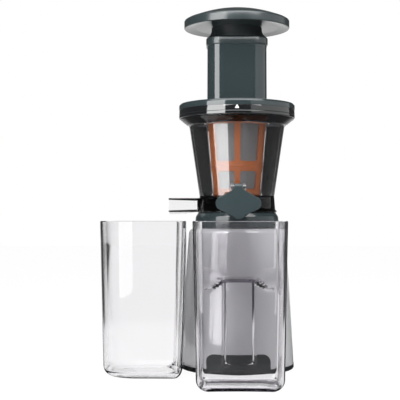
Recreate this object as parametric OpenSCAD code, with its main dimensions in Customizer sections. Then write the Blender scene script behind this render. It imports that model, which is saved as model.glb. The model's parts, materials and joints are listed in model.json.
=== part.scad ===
// Cold press juicer: an upright power unit with a motor and a reduction
// gearbox, a smoky juicing bowl with strainer, wiper and scroll, a lid with a
// wide feed tube and its pusher, and two clear jugs that stand at its foot.
// Millimetres. The origin is on the table under the middle of the tower,
// +Z is up, -Y is the front, where the juice runs out.

/* [Power unit] */
// Radius of the housing at its lower edge
base_r = 68.6; // [67:0.1:71]
// Radius of the housing where its shoulder starts
shoulder_r = 59; // [58:0.1:61]
// How far the housing's side bulges out of a straight cone
side_bulge = 0.7; // [0:0.1:2]
// Radius of the rounded shoulder
shoulder_round = 6.5; // [4:0.1:8]
// Wall of the housing
housing_wall = 2.6; // [2:0.1:3.2]
// Height of the housing
housing_h = 163.5; // [160:0.5:180]
// Height of the base plate above the table
base_h = 7.5; // [6.5:0.1:10]
// How far the base ring stands out of the housing's lower edge
base_lip = 0.4; // [0.2:0.1:1.5]
// Edge rounding of the base ring
base_round = 2.5; // [1:0.1:3]
// Height that the rubber foot stands out below the base plate
foot_drop = 1.5; // [1:0.1:2.5]
// How far the rubber foot ring stays inside the housing's lower edge
foot_inset = 12.6; // [11.6:0.1:14.6]
// Width of the rubber foot ring
foot_w = 6; // [4:0.1:8]
// Depth of the groove that holds the foot ring
foot_groove = 2; // [1:0.1:3]
// Width of the dark front apron
apron_w = 76; // [60:1:84]
// Height of the apron's upper edge above the table
apron_top = 25.5; // [22:0.5:34]
// Corner radius of the apron
apron_round = 10; // [6:0.5:14]

/* [Collar] */
// Height of the collar that carries the bowl
collar_h = 19.5; // [18:0.1:24]
// Radius of the collar at its lower edge
collar_low_r = 51.5; // [51:0.1:53]
// Radius of the collar below its rounded top edge
collar_top_r = 50.2; // [49.5:0.1:51]
// Rounding of the collar's top edge
collar_round = 2.8; // [1.5:0.1:4]
// Wall of the collar
collar_wall = 3; // [2:0.1:4]
// Thickness of the collar's top plate
collar_plate = 6; // [5:0.1:7]

/* [Motor] */
// Outer radius of the stator
stator_r = 42; // [40:0.5:44]
// Radius of the rotor's core
rotor_r = 23.4; // [20:0.1:25]
// Air gap between rotor and stator
air_gap = 0.6; // [0.4:0.1:1]
// Height of the stator's core
stator_h = 44; // [38:1:46]
// Height of each motor end bell above or below the core
bell_h = 20; // [18:0.5:22]
// Wall of the motor's end bells
bell_wall = 2.5; // [2:0.1:3]
// Radius of the motor shaft
motor_shaft_r = 4; // [3.5:0.1:4.5]
// Radius of the cooling fan
fan_r = 36; // [30:0.5:40]
// Height of the cooling fan
fan_h = 9; // [6:0.5:10]
// Number of fan blades
fan_blades = 9; // [7:1:13]

/* [Gearbox] */
// Radius of the gearbox
gearbox_r = 53; // [52.6:0.1:54]
// Thickness of the gearbox's plates and wall
gearbox_wall = 2.6; // [2:0.1:3]
// Face width of the reduction gears
gear_w = 8; // [7:0.5:9]
// Space between the gear levels
gear_gap = 2; // [1.5:0.1:3]
// Radius of the output shaft
drive_r = 7; // [6.8:0.1:7.5]
// Width of the output hexagon across its flats
hex_w = 10; // [9:0.1:10.5]
// Length of the output hexagon
hex_l = 30; // [20:1:32]
// Radius of the steel gear pins
gear_pin_r = 2.5; // [2:0.1:3]

/* [Bowl] */
// Height of the bowl from the collar to the top of its rim
bowl_h = 126.9; // [124:0.1:140]
// Radius of the bowl's foot flange
bowl_foot_r = 48.7; // [48:0.1:49.5]
// Radius of the bowl just above its foot
bowl_low_r = 45.8; // [45.4:0.1:47]
// Radius of the bowl under its rim
bowl_high_r = 58.3; // [56:0.1:60]
// Height of the bowl's straight foot
bowl_foot_h = 19.5; // [18:0.1:22]
// Height of the rim band
rim_h = 12.9; // [11.5:0.1:16]
// Radius of the rim band and of the lid
rim_r = 71; // [70.5:0.1:73]
// Height of the sloping underside of the rim
rim_under_h = 9.5; // [7:0.1:12]
// Wall of the bowl
bowl_wall = 2.6; // [2:0.1:3]
// Thickness of the bowl's floor
floor_t = 2; // [1.6:0.1:2.5]
// Height of the bowl's floor above the collar
floor_up = 8.5; // [8:0.1:9.5]
// How deep the bowl's skirt sinks into the collar
skirt_depth = 2.7; // [2:0.1:3]

/* [Spouts] */
// Height of the juice spout's axis above the collar
spout_up = 9.5; // [9.2:0.1:11]
// Outer radius of the juice spout
spout_r = 15; // [14:0.1:16]
// Bore radius of the juice spout
spout_bore_r = 10.5; // [9:0.1:11]
// Distance of the spout's mouth from the tower axis
spout_reach = 80; // [76:0.5:84]
// Radius of the boss where the spout meets the bowl
boss_r = 18; // [17:0.1:20]
// Width of the pulp duct
duct_w = 24; // [20:0.5:26]
// Height of the pulp duct outside the bowl
duct_h = 17; // [15:0.5:20]
// Wall of the pulp duct
duct_wall = 1.7; // [1.4:0.1:2]
// Distance of the pulp duct's mouth from the tower axis
duct_reach = 83; // [78:0.5:90]

/* [Drip stop] */
// Width of the drip stop across its wings
drip_w = 52; // [44:0.5:58]
// Distance from the spout's axis to the drip stop's lower edge
drip_drop = 17; // [16:0.1:18.5]
// Thickness of the drip stop's plate
drip_t = 6; // [4:0.1:7]
// Height of the hinge pin above the spout's axis
hinge_up = 19.5; // [19:0.1:21]
// Radius of the hinge pin
hinge_pin_r = 1.5; // [1.2:0.1:1.8]
// Radius of the hinge knuckle
knuckle_r = 3.6; // [3.2:0.1:3.8]
// Width of the hinge knuckle
knuckle_w = 10; // [8:0.5:12]
// Thickness of each hinge ear
ear_t = 3.5; // [2.5:0.1:5]

/* [Strainer and wiper] */
// Outer radius of the strainer at its floor
strainer_low_r = 28.2; // [27.8:0.1:29]
// Outer radius of the strainer at its top ring
strainer_high_r = 36.5; // [35.5:0.1:37.5]
// Wall of the strainer's frame
strainer_wall = 2; // [1.8:0.1:2.4]
// Thickness of the steel mesh
mesh_t = 0.5; // [0.4:0.1:0.6]
// Width of the strainer's ribs
rib_w = 6.8; // [4:0.1:9]
// Width of the strainer's middle ring
middle_ring_h = 12; // [8:0.5:16]
// Thickness of the wiper's arms
wiper_t = 4; // [3:0.1:5]
// Width of the soft wiper lips
lip_w = 1; // [0.8:0.1:1.2]

/* [Scroll and bowl gears] */
// Radius of the scroll's core at its foot
core_low_r = 15; // [13:0.1:16]
// Radius of the scroll's core at its top
core_high_r = 11; // [9:0.1:13]
// Height of the threaded part of the scroll
scroll_h = 76; // [66:1:78]
// Rise of one turn of a scroll flight
scroll_pitch = 62; // [50:1:80]
// Number of flights on the scroll
flights = 2; // [1:1:3]
// Module of the bowl gears
bowl_gear_m = 1.5; // [1.45:0.05:1.5]
// Height of the bowl gears
bowl_gear_h = 5.2; // [4.5:0.1:5.4]
// Radius of the idler pins
idler_pin_r = 3; // [2.5:0.1:3.5]

/* [Lid and feed tube] */
// Thickness of the lid's flange
flange_h = 5.6; // [5:0.1:7]
// Height of the feed tube's wall between flange and lip
tube_h = 70; // [60:1:90]
// Width of the feed tube
tube_w = 72; // [70:0.5:74]
// Depth of the feed tube, front to back
tube_d = 58; // [54:0.5:62]
// Corner radius of the feed tube
tube_round = 18; // [14:0.5:22]
// Wall of the feed tube
tube_wall = 2.6; // [2:0.1:3]
// How far the tube's lip stands out
lip_out = 1.5; // [1:0.1:2.5]
// Height of the tube's lip
lip_h = 9.4; // [7:0.1:12]
// Angle that the lid turns from insertion to locked
lid_turn = 24; // [20:1:28]

/* [Pusher] */
// Radius of the pusher's disc
disc_r = 64.5; // [60:0.5:68]
// Thickness of the pusher's disc
disc_h = 10.2; // [8:0.1:14]
// Rise of the disc's domed top
dome_h = 14.3; // [4:0.1:16]
// Height of the neck between the tube's lip and the disc
neck_h = 13; // [10:0.1:18]
// Half width of the neck under the disc
neck_r = 30.6; // [26:0.1:32]
// Wall of the pusher
pusher_wall = 2.5; // [2:0.1:3]
// Clearance between pusher and feed tube
pusher_gap = 0.5; // [0.4:0.1:1]

/* [Jugs] */
// Clearance between the jugs' rims and the collar's top
jug_gap = 10.5; // [10:0.1:14]
// Wall of the jugs
jug_wall = 2.6; // [2:0.1:3.4]
// Thickness of the jugs' floors
jug_floor = 4; // [3:0.1:6]
// Width of the juice jug at its rim
juice_jug_w = 101.5; // [96:0.5:104]
// Distance of the juice jug's front from the tower axis
juice_jug_front = 177; // [170:0.5:190]
// Distance of the juice jug's upper back from the tower axis
juice_jug_back = 75; // [74:0.5:80]
// Distance of the juice jug's lower back from the tower axis
juice_jug_low_back = 108; // [100:0.5:116]
// Height of the step in the juice jug's back
step_z = 112; // [100:1:125]
// How much narrower the juice jug is at its floor, each side
jug_taper = 3.8; // [2:0.1:5]
// Corner radius of the jugs
jug_round = 12; // [9:0.5:15]
// Width of the grip groove in the juice jug's back
groove_w = 34; // [24:1:40]
// Depth of the grip groove
groove_d = 2; // [1:0.1:3]
// Height of the groove's lower end above the table
groove_low = 21.5; // [18:0.5:30]
// Distance of the pulp jug's outer side from the tower axis
pulp_jug_left = 162; // [155:0.5:175]
// Distance of the pulp jug's inner side from the tower axis
pulp_jug_right = 60; // [57:0.5:61]
// Distance of the pulp jug's front from the tower axis
pulp_jug_front = 95; // [88:0.5:110]
// Distance of the pulp jug's back behind the tower axis
pulp_jug_rear = 18; // [12:0.5:30]
// Corner radius of the pulp jug's outer side
pulp_jug_round = 46; // [38:0.5:50]
// Space between the pulp jug and the power unit
pulp_jug_clear = 2; // [1.5:0.1:4]

/* [Switch and cord gland] */
// Width of the switch bezel
bezel_w = 32; // [26:0.5:38]
// Height of the switch bezel
bezel_h = 25; // [22:0.5:30]
// Height of the switch's middle above the table
switch_z = 60; // [50:1:80]
// Angle that the rocker tips from its middle to each side
rocker_tip = 8; // [5:1:9]
// Radius of the cord gland
gland_r = 7; // [6:0.1:8]
// Bore radius of the cord gland
gland_bore_r = 3.7; // [3:0.1:4.5]
// Height of the cord gland above the table
gland_z = 24; // [20:0.5:32]

/* [Hidden] */
$fn = 96;

// Clearances
run_fit = 0.05;   // radial, shaft in a bearing or gear on a pin
soft_gap = 0.3;   // between pieces that slide past or lift off each other
cut = 1;          // how far a cutter runs past the face it opens

// Height levels of the tower
foot_out_r = base_r - foot_inset;
foot_in_r = foot_out_r - foot_w;
vent_r = 28;      // where the base plate's vents start
vent_w = 3;
housing_top = base_h + housing_h;
collar_top = housing_top + collar_h;
floor_top = collar_top + floor_up + floor_t;
rim_top = collar_top + bowl_h;
flange_top = rim_top + flange_h;
tube_top = flange_top + tube_h;
lip_top = tube_top + lip_h;
disc_z = lip_top + neck_h;
jug_top = collar_top - jug_gap;

// Housing profile
side_steps = 12;
arc_step = 15;
side_top = housing_h - shoulder_round;
function side_r(z) = let (t = (z - base_h) / side_top)
    base_r + (shoulder_r - base_r) * t + side_bulge * 4 * t * (1 - t);
function shell_side(inset) = [for (i = [0:side_steps])
    let (z = base_h + side_top * i / side_steps) [side_r(z) - inset, z]];
function shoulder(inset) = [for (a = [arc_step:arc_step:90])
    [shoulder_r - shoulder_round + (shoulder_round - inset) * cos(a),
     housing_top - shoulder_round + (shoulder_round - inset) * sin(a)]];

// Power unit insides, from the gearbox down to the fan
cover_gap = 12.4;                            // above the gearbox cover, for its posts
post_r = 4;
screw_r = 1.6;
head_r = 3.2;
head_h = 2.4;
cover_top = housing_top - housing_wall - cover_gap;
cover_z = cover_top - gearbox_wall;
level_3 = cover_z - 1 - gear_w;
level_2 = level_3 - gear_gap - gear_w;
level_1 = level_2 - gear_gap - gear_w;
case_z = level_1 - 1 - gearbox_wall;
post_ring = gearbox_r - gearbox_wall - head_r - 2;
stator_top = case_z - bell_h;
stator_z = stator_top - stator_h;
bell_z = stator_z - bell_h + 6;              // the lower bell is shallower
fan_z = bell_z - fan_h - 2;
capacitor_h = 34;
board_w = 40;
board_h = 46;
board_t = 1.6;
bearing_h = 7;
bearing_r = 11;
bearing_seat = 3;

// Reduction gears: three stages, the last one back on the tower axis
pressure = 20;
pinion_m = 0.8;
output_m = 1;
pinion_teeth = 12;
first_teeth = 45;
second_teeth = 50;
last_pinion_teeth = 14;
output_teeth = 42;
gear_slack = 0.14;
reach_1 = pinion_m * (pinion_teeth + first_teeth) / 2;
reach_12 = pinion_m * (pinion_teeth + second_teeth) / 2;
reach_2 = output_m * (last_pinion_teeth + output_teeth) / 2;
angle_2 = 200;
angle_1 = angle_2 + acos((reach_1 * reach_1 + reach_2 * reach_2 - reach_12 * reach_12)
    / (2 * reach_1 * reach_2));
pin_1 = [reach_1 * cos(angle_1), reach_1 * sin(angle_1)];
pin_2 = [reach_2 * cos(angle_2), reach_2 * sin(angle_2)];
angle_12 = atan2(pin_2[1] - pin_1[1], pin_2[0] - pin_1[0]);

// Collar
skirt_in_r = 39;
skirt_out_r = 44;
drive_bearing_r = 14;
drive_bearing_h = 12;
seal_r = 11;
seal_h = 3;

// Bowl
foot_top = collar_top + bowl_foot_h;
rim_z = rim_top - rim_h;
under_z = rim_z - rim_under_h;
rim_in_r = rim_r - bowl_wall - 0.2;
function bowl_out(z) = bowl_low_r + (bowl_high_r - bowl_low_r)
    * (z - foot_top) / (under_z - foot_top);
function bowl_in(z) = bowl_out(z) - bowl_wall;
bowl_seal_r = 12.5;
spigot_r = 8.9;
ramp_count = 3;
lug_clear = 3;      // degrees on each side of a lug in its entry gap
ramp_t = 2.5;
ramp_in = 2;
ramp_drop = 6.6;
lug_span = 24;
ramp_start = lug_span / 2 + lug_clear;
ramp_span = 360 / ramp_count - 2 * ramp_start;
stop_span = 5;

// Bowl gears
sun_teeth = 18;
idler_teeth = 12;
ring_teeth = sun_teeth + 2 * idler_teeth;
bowl_gear_slack = 0.3;
idler_reach = bowl_gear_m * (sun_teeth + idler_teeth) / 2;
bowl_gear_z = floor_top + soft_gap;
ring_pitch_r = bowl_gear_m * ring_teeth / 2;
ring_r = ring_pitch_r + 6.2;
strainer_z = bowl_gear_z + bowl_gear_h + 1;
strainer_plate = 2;

// Strainer
strainer_top = rim_z - 2.5;
strainer_ring_h = 6;
strainer_ring_r = strainer_high_r + 2.1;
function strainer_out(z) = strainer_low_r + (strainer_high_r - strainer_low_r)
    * (z - strainer_z) / (strainer_top - strainer_z);
rib_count = 6;
mesh_z = strainer_z + 8.5;
window_z = strainer_z + 11.1;
window_top = strainer_top - 2;
window_mid = strainer_z + 38.5;
window_round = 3;
floor_hole_r = bowl_gear_m * (sun_teeth / 2 + 1) + 0.6;
chute_in_r = 17.6;
chute_out_r = 27;
chute_wall = 1.2;

// Spouts
spout_z = collar_top + spout_up;
spout_start = collar_low_r + 0.5;
neck_start = bowl_low_r + 3.5;   // where the juice neck stands on the bowl's boss
joint_r = bowl_foot_r + 0.8;     // where the pulp spout meets the duct's root
passage_w = 16;
passage_h = 8;
duct_z = collar_top + soft_gap;
duct_end = chute_in_r - chute_wall;
hinge_z = spout_z + hinge_up;
hinge_y = -(spout_reach - 4.5);
ear_r = knuckle_r + 0.2;
drip_y = -(spout_reach + 2 * soft_gap);
wing_r = 8;
drip_tip_r = 8.6;
drip_top_r = 7;
drip_top_drop = 6.3;
drip_seal_r = 13;
drip_seal_t = 1.3;

// Scroll
scroll_gap = 0.8;
scroll_z = strainer_z + strainer_plate + 0.5;
scroll_top = scroll_z + scroll_h;
hex_gap = 0.15;
hex_r = hex_w / sqrt(3);
hex_z = collar_top + 3;
socket_h = 3;
scroll_sides = 40;
scroll_levels = 38;
flight_land = 0.16;
flight_flank = 0.12;
hub_r = floor_hole_r - 0.4;
tip_h = 12;
tip_r = 5;

// Wiper
wiper_z = bowl_gear_z + bowl_gear_h;
wiper_low = wiper_z + 7.5;
wiper_top = strainer_top - 6;

// Lid
throat_r = strainer_ring_r - strainer_wall - mesh_t - 2.9;
skirt_wall = 2.5;
plug_wall = 3.5;
plug_depth = 10.6;
plug_r = rim_in_r - ramp_in - 0.2;
seal_ring_h = 3;
lug_h = 3;

// Pusher
body_w = tube_w - 2 * tube_wall - 2 * pusher_gap;
body_d = tube_d - 2 * tube_wall - 2 * pusher_gap;
body_round = tube_round - tube_wall - pusher_gap;
pusher_z = flange_top - 3;
pusher_base_t = 3;
disc_round = 3;
dome_steps = 8;

// Jugs
slice_sides = 32;
slice_h = 0.5;
nub_r = 4;
nub_h = 2;

// Switch
bezel_lip = 1.5;
rocker_gap = 0.5;
rocker_w = bezel_w - 8;
rocker_h = bezel_h - 8;
rocker_d = 9;
bezel_depth = 15;
bezel_y = side_r(switch_z) + 1.5;
trunnion_r = 1.5;
gland_angle = 115;
gland_l = 14;
gland_tip = 4;
gland_root = housing_wall + 3;
flange_t = 1.5;

// ---------------------------------------------------------------- helpers

// A rectangle with round corners, about the origin
module round_rect(w, d, r) {
    square([w - 2 * r, d], center = true);
    square([w, d - 2 * r], center = true);
    for (x = [-1, 1], y = [-1, 1])
        translate([x * (w / 2 - r), y * (d / 2 - r)]) circle(r);
}

// A tube standing on z
module ring(z, h, r_out, r_in) {
    translate([0, 0, z]) difference() {
        cylinder(h = h, r = r_out);
        translate([0, 0, -cut]) cylinder(h = h + 2 * cut, r = r_in);
    }
}

// A wedge of the plane from angle a to angle b, for spans under 180 degrees
module wedge(r, a, b) {
    polygon([[0, 0], [r * cos(a), r * sin(a)],
        [r * cos((a + b) / 2) * 1.2, r * sin((a + b) / 2) * 1.2],
        [r * cos(b), r * sin(b)]]);
}

// Copies at equal angles about the tower axis
module around(count, start) {
    for (i = [0:count - 1]) rotate([0, 0, start + i * 360 / count]) children();
}

// Involute gear outline: half angle of a tooth at radius rho
function involute(a) = tan(a) * 180 / PI - a;
function tooth_half(m, teeth, rho, slack) =
    let (pitch_r = m * teeth / 2, base = pitch_r * cos(pressure), p = max(rho, base))
    90 / teeth - slack / pitch_r * 90 / PI + involute(pressure) - involute(acos(base / p));
function gear_points(m, teeth, tip, root, slack) =
    let (pitch_r = m * teeth / 2,
         radii = [pitch_r - root, pitch_r - 0.5 * m, pitch_r + 0.15 * m, pitch_r + tip])
    [for (i = [0:teeth - 1], side = [-1, 1], k = [0:3])
        let (rho = radii[side < 0 ? k : 3 - k],
             a = i * 360 / teeth + side * tooth_half(m, teeth, rho, slack))
        [rho * cos(a), rho * sin(a)]];
module gear(m, teeth, h, slack) {
    linear_extrude(height = h) polygon(gear_points(m, teeth, m, 1.25 * m, slack));
}

// ---------------------------------------------------------------- power unit

module shell() {
    rotate_extrude() polygon(concat(shell_side(0), shoulder(0),
        [[drive_r + 1, housing_top], [drive_r + 1, housing_top - housing_wall]],
        [for (i = [5:-1:0]) shoulder(housing_wall)[i]],
        [for (i = [side_steps:-1:0]) shell_side(housing_wall)[i]]));
}

// The arch-shaped place of the apron, cut through the front of the shell
module apron_cut() {
    translate([0, 0, base_h]) rotate([90, 0, 0]) linear_extrude(height = base_r + cut)
        intersection() {
            round_rect(apron_w, 2 * (apron_top - base_h), apron_round);
            translate([-apron_w, 0]) square([2 * apron_w, apron_top]);
        }
}

module housing() {
    color([0.80, 0.81, 0.81]) {
        difference() {
            shell();
            apron_cut();
            translate([-bezel_w / 2 + bezel_lip, 0, switch_z - bezel_h / 2 + bezel_lip])
                cube([bezel_w - 2 * bezel_lip, base_r + cut, bezel_h - 2 * bezel_lip]);
            rotate([0, 0, gland_angle - 90]) translate([0, 0, gland_z])
                rotate([-90, 0, 0]) cylinder(h = base_r + cut, r = gland_r - 1);
        }
        around(4, 45) translate([post_ring, 0, cover_top]) difference() {
            cylinder(h = cover_gap + 0.5, r = post_r);
            translate([0, 0, -cut]) cylinder(h = cover_gap - 1, r = screw_r);
        }
        intersection() {
            shell_fill(housing_wall / 2);
            around(4, 45) translate([base_r - housing_wall - post_r, 0, base_h]) difference() {
                union() {
                    cylinder(h = 18, r = post_r);
                    translate([0, -post_r / 2, 0]) cube([post_r + housing_wall, post_r, 18]);
                }
                translate([0, 0, -cut]) cylinder(h = 16, r = screw_r);
            }
        }
    }
}

// The shell's outside made solid, or made smaller by inset
module shell_fill(inset) {
    rotate_extrude() polygon(concat([[0, base_h]], shell_side(inset),
        [[0, housing_top - shoulder_round]]));
}

module apron() {
    color([0.16, 0.19, 0.20]) intersection() {
        shell();
        apron_cut();
    }
}

module base_plate() {
    plate_z = foot_drop;
    plate_r = base_r + base_lip;
    color([0.17, 0.20, 0.21]) difference() {
        rotate_extrude() polygon(concat([[0, plate_z]],
            [for (a = [-90:arc_step:0])
                [plate_r - base_round + base_round * cos(a),
                 plate_z + base_round + base_round * sin(a)]],
            [[plate_r, base_h], [0, base_h]]));
        ring(plate_z - cut, foot_groove + cut, foot_out_r, foot_in_r);
        around(16, 0) translate([vent_r, -vent_w / 2, plate_z - cut])
            cube([foot_in_r - foot_w - vent_r, vent_w, base_h + cut]);
        around(4, 45) translate([base_r - housing_wall - post_r, 0, plate_z - cut]) {
            cylinder(h = base_h, r = screw_r);
            cylinder(h = cut + head_h, r = head_r);
        }
    }
}

module foot_ring() {
    color([0.10, 0.10, 0.10]) ring(0, foot_drop + foot_groove, foot_out_r, foot_in_r);
}

module base_screws() {
    color([0.75, 0.75, 0.76]) around(4, 45)
        translate([base_r - housing_wall - post_r, 0, foot_drop + 0.4]) {
            cylinder(h = head_h - 0.4, r = head_r);
            cylinder(h = base_h + 10 - foot_drop, r = screw_r);
        }
}

module collar() {
    plate_z = collar_top - collar_plate;
    color([0.22, 0.26, 0.27]) difference() {
        rotate_extrude() polygon(concat(
            [[collar_low_r - collar_wall, housing_top], [collar_low_r, housing_top]],
            [for (a = [0:arc_step:90])
                [collar_top_r - collar_round + collar_round * cos(a),
                 collar_top - collar_round + collar_round * sin(a)]],
            [[0, collar_top], [0, plate_z], [drive_bearing_r, plate_z],
             [drive_bearing_r, housing_top], [drive_bearing_r + collar_wall, housing_top],
             [drive_bearing_r + collar_wall, plate_z], [collar_top_r - collar_wall - 1, plate_z]]));
        ring(collar_top - skirt_depth - soft_gap, skirt_depth + cut,
            skirt_out_r + soft_gap, skirt_in_r - soft_gap);
        translate([0, 0, plate_z - cut]) cylinder(h = collar_plate + 2 * cut, r = drive_r + 1);
        translate([0, 0, collar_top - seal_h]) cylinder(h = seal_h + cut, r = seal_r);
    }
}

module motor_stator() {
    color([0.55, 0.56, 0.58]) difference() {
        ring(stator_z, stator_h, stator_r, rotor_r + air_gap);
        around(12, 0) translate([rotor_r + air_gap + 8, 0, stator_z - cut])
            cylinder(h = stator_h + 2 * cut, r = 4);
    }
}

module motor_winding() {
    color([0.72, 0.42, 0.20]) {
        for (z = [stator_z - 6, stator_top]) ring(z, 6, stator_r - 4, rotor_r + air_gap + 4);
        around(12, 0) translate([rotor_r + air_gap + 8, 0, stator_z])
            cylinder(h = stator_h, r = 3.6);
    }
}

module upper_bell() {
    color([0.60, 0.61, 0.62]) rotate_extrude() polygon([
        [stator_r, stator_top], [stator_r, case_z], [motor_shaft_r + 0.5, case_z],
        [motor_shaft_r + 0.5, case_z - bearing_seat], [bearing_r, case_z - bearing_seat],
        [bearing_r, case_z - bearing_seat - bearing_h],
        [bearing_r + bell_wall, case_z - bearing_seat - bearing_h],
        [bearing_r + bell_wall, case_z - bearing_seat], [stator_r - bell_wall, case_z - bearing_seat],
        [stator_r - bell_wall, stator_top]]);
}

module lower_bell() {
    color([0.60, 0.61, 0.62]) rotate_extrude() polygon([
        [stator_r, stator_z], [stator_r, bell_z], [motor_shaft_r + 0.5, bell_z],
        [motor_shaft_r + 0.5, bell_z + bearing_seat], [bearing_r, bell_z + bearing_seat],
        [bearing_r, bell_z + bearing_seat + bearing_h],
        [bearing_r + bell_wall, bell_z + bearing_seat + bearing_h],
        [bearing_r + bell_wall, bell_z + bearing_seat], [stator_r - bell_wall, bell_z + bearing_seat],
        [stator_r - bell_wall, stator_z]]);
}

module motor_bearings() {
    color([0.80, 0.80, 0.82])
        for (z = [bell_z + bearing_seat, case_z - bearing_seat - bearing_h])
            ring(z, bearing_h, bearing_r, motor_shaft_r + run_fit);
}

module gearbox_case() {
    color([0.30, 0.31, 0.33]) difference() {
        translate([0, 0, case_z]) cylinder(h = cover_z - case_z, r = gearbox_r);
        translate([0, 0, case_z + gearbox_wall])
            cylinder(h = cover_z, r = gearbox_r - gearbox_wall);
        translate([0, 0, case_z - cut]) {
            cylinder(h = gearbox_wall + 2 * cut, r = motor_shaft_r + 2);
            for (p = [pin_1, pin_2])
                translate(p) cylinder(h = gearbox_wall + 2 * cut, r = gear_pin_r);
        }
    }
}

module gearbox_cover() {
    color([0.34, 0.35, 0.37]) difference() {
        union() {
            translate([0, 0, cover_z]) cylinder(h = gearbox_wall, r = gearbox_r);
            translate([0, 0, cover_z]) cylinder(h = cover_gap - 1, r = drive_r + 5);
        }
        translate([0, 0, cover_z - cut]) {
            cylinder(h = cover_gap + 2 * cut, r = drive_r + run_fit);
            translate(pin_2) cylinder(h = gearbox_wall + 2 * cut, r = gear_pin_r);
            around(4, 45) translate([post_ring, 0]) cylinder(h = gearbox_wall + 2 * cut, r = screw_r);
        }
    }
}

module cover_screws() {
    color([0.75, 0.75, 0.76]) around(4, 45) translate([post_ring, 0, cover_z]) {
        translate([0, 0, -head_h]) cylinder(h = head_h, r = head_r);
        cylinder(h = gearbox_wall + 9, r = screw_r);
    }
}

module gear_pins() {
    color([0.82, 0.82, 0.84]) {
        translate([pin_1[0], pin_1[1], case_z])
            cylinder(h = level_3 - gear_gap / 2 - case_z, r = gear_pin_r);
        translate([pin_2[0], pin_2[1], case_z]) cylinder(h = cover_top - case_z, r = gear_pin_r);
    }
}

module drive_bearing() {
    color([0.80, 0.80, 0.82]) ring(housing_top, drive_bearing_h, drive_bearing_r, drive_r + run_fit);
}

module drive_seal() {
    color([0.12, 0.12, 0.12]) ring(collar_top - seal_h, seal_h - 0.5, seal_r, drive_r + soft_gap);
}

module circuit_board() {
    board_x = -(stator_r + 12);
    color([0.12, 0.35, 0.20]) translate([board_x - board_t, -board_w / 2, base_h])
        cube([board_t, board_w, board_h]);
    translate([board_x, 0, base_h]) {
        color([0.20, 0.20, 0.22]) translate([0, -0.3 * board_w, 0.3 * board_h])
            cube([6, 0.35 * board_w, 0.22 * board_h]);
        color([0.70, 0.66, 0.20]) translate([0, 0.2 * board_w, 0.52 * board_h])
            cube([5, 0.2 * board_w, 0.18 * board_h]);
        color([0.62, 0.62, 0.62]) translate([0, -0.35 * board_w, 0.7 * board_h])
            cube([4, 0.5 * board_w, 0.22 * board_h]);
    }
}

// Stands in the room between the stator and the housing's wall
module capacitor() {
    room = side_r(base_h + capacitor_h) - housing_wall - stator_r;
    can_r = 0.36 * room;
    color([0.35, 0.36, 0.40]) rotate([0, 0, -9]) translate([stator_r + room / 2, 0, base_h]) {
        cylinder(h = capacitor_h, r = can_r);
        for (y = [-0.4, 0.4]) translate([0, y * can_r, capacitor_h])
            cylinder(h = 5, r = 0.1 * can_r);
    }
}

module switch_bezel() {
    hole_w = rocker_w + 2 * rocker_gap;
    hole_h = rocker_h + 2 * rocker_gap;
    color([0.14, 0.16, 0.17]) difference() {
        union() {
            translate([0, bezel_y, switch_z]) rotate([90, 0, 0]) linear_extrude(height = bezel_depth)
                square([bezel_w - 2 * bezel_lip, bezel_h - 2 * bezel_lip], center = true);
            difference() {
                translate([0, bezel_y, switch_z]) rotate([90, 0, 0])
                    linear_extrude(height = bezel_depth / 2)
                    round_rect(bezel_w, bezel_h, 2 * bezel_lip);
                shell_fill(0);
            }
        }
        translate([-hole_w / 2, bezel_y - bezel_depth + 2, switch_z - hole_h / 2])
            cube([hole_w, bezel_depth, hole_h]);
        translate([-bezel_w / 2 - cut, bezel_y - rocker_d / 2, switch_z]) rotate([0, 90, 0])
            cylinder(h = bezel_w + 2 * cut, r = trunnion_r + run_fit);
    }
}

module switch_rocker() {
    face_y = rocker_d / 2 + 0.6;
    dip = tan(rocker_tip) * rocker_h / 2;
    color([0.05, 0.05, 0.06]) translate([0, bezel_y - rocker_d / 2, switch_z]) {
        rotate([90, 0, 90]) translate([0, 0, -rocker_w / 2]) linear_extrude(height = rocker_w)
            polygon([[-rocker_d / 2 + 1, -rocker_h / 2 + 2], [rocker_d / 2 - 1, -rocker_h / 2 + 0.8],
                [face_y, 2.5 - rocker_h / 2], [face_y - dip, 0], [face_y, rocker_h / 2 - 2.5],
                [rocker_d / 2 - 1, rocker_h / 2 - 0.8], [-rocker_d / 2 + 1, rocker_h / 2 - 2]]);
        translate([-rocker_w / 2 - 2.5, 0, 0]) rotate([0, 90, 0])
            cylinder(h = rocker_w + 5, r = trunnion_r);
    }
}

module cord_gland() {
    color([0.12, 0.12, 0.13]) rotate([0, 0, gland_angle - 90])
        translate([0, side_r(gland_z), gland_z]) rotate([-90, 0, 0]) difference() {
            union() {
                translate([0, 0, -gland_root])
                    cylinder(h = gland_root + gland_l - gland_tip, r = gland_r - 1);
                translate([0, 0, 0.6]) cylinder(h = flange_t, r = gland_r);
                translate([0, 0, gland_l - gland_tip])
                    cylinder(h = gland_tip, r1 = gland_r - 1, r2 = gland_bore_r + 1.2);
            }
            translate([0, 0, -gland_root - cut])
                cylinder(h = gland_l + gland_root + 2 * cut, r = gland_bore_r);
        }
}

// ---------------------------------------------------------------- motor and gears

module rotor_core() {
    color([0.50, 0.50, 0.53]) ring(stator_z + 1, stator_h - 2, rotor_r, motor_shaft_r);
}

module rotor_shaft() {
    color([0.80, 0.80, 0.82]) {
        translate([0, 0, fan_z]) cylinder(h = level_1 - 1 - fan_z, r = motor_shaft_r);
        translate([0, 0, level_1 - 1 - cut])
            cylinder(h = gear_w + 2, r = pinion_m * (pinion_teeth / 2 - 1.25));
        translate([0, 0, level_1]) rotate([0, 0, angle_1])
            gear(pinion_m, pinion_teeth, gear_w, gear_slack);
    }
}

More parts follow.
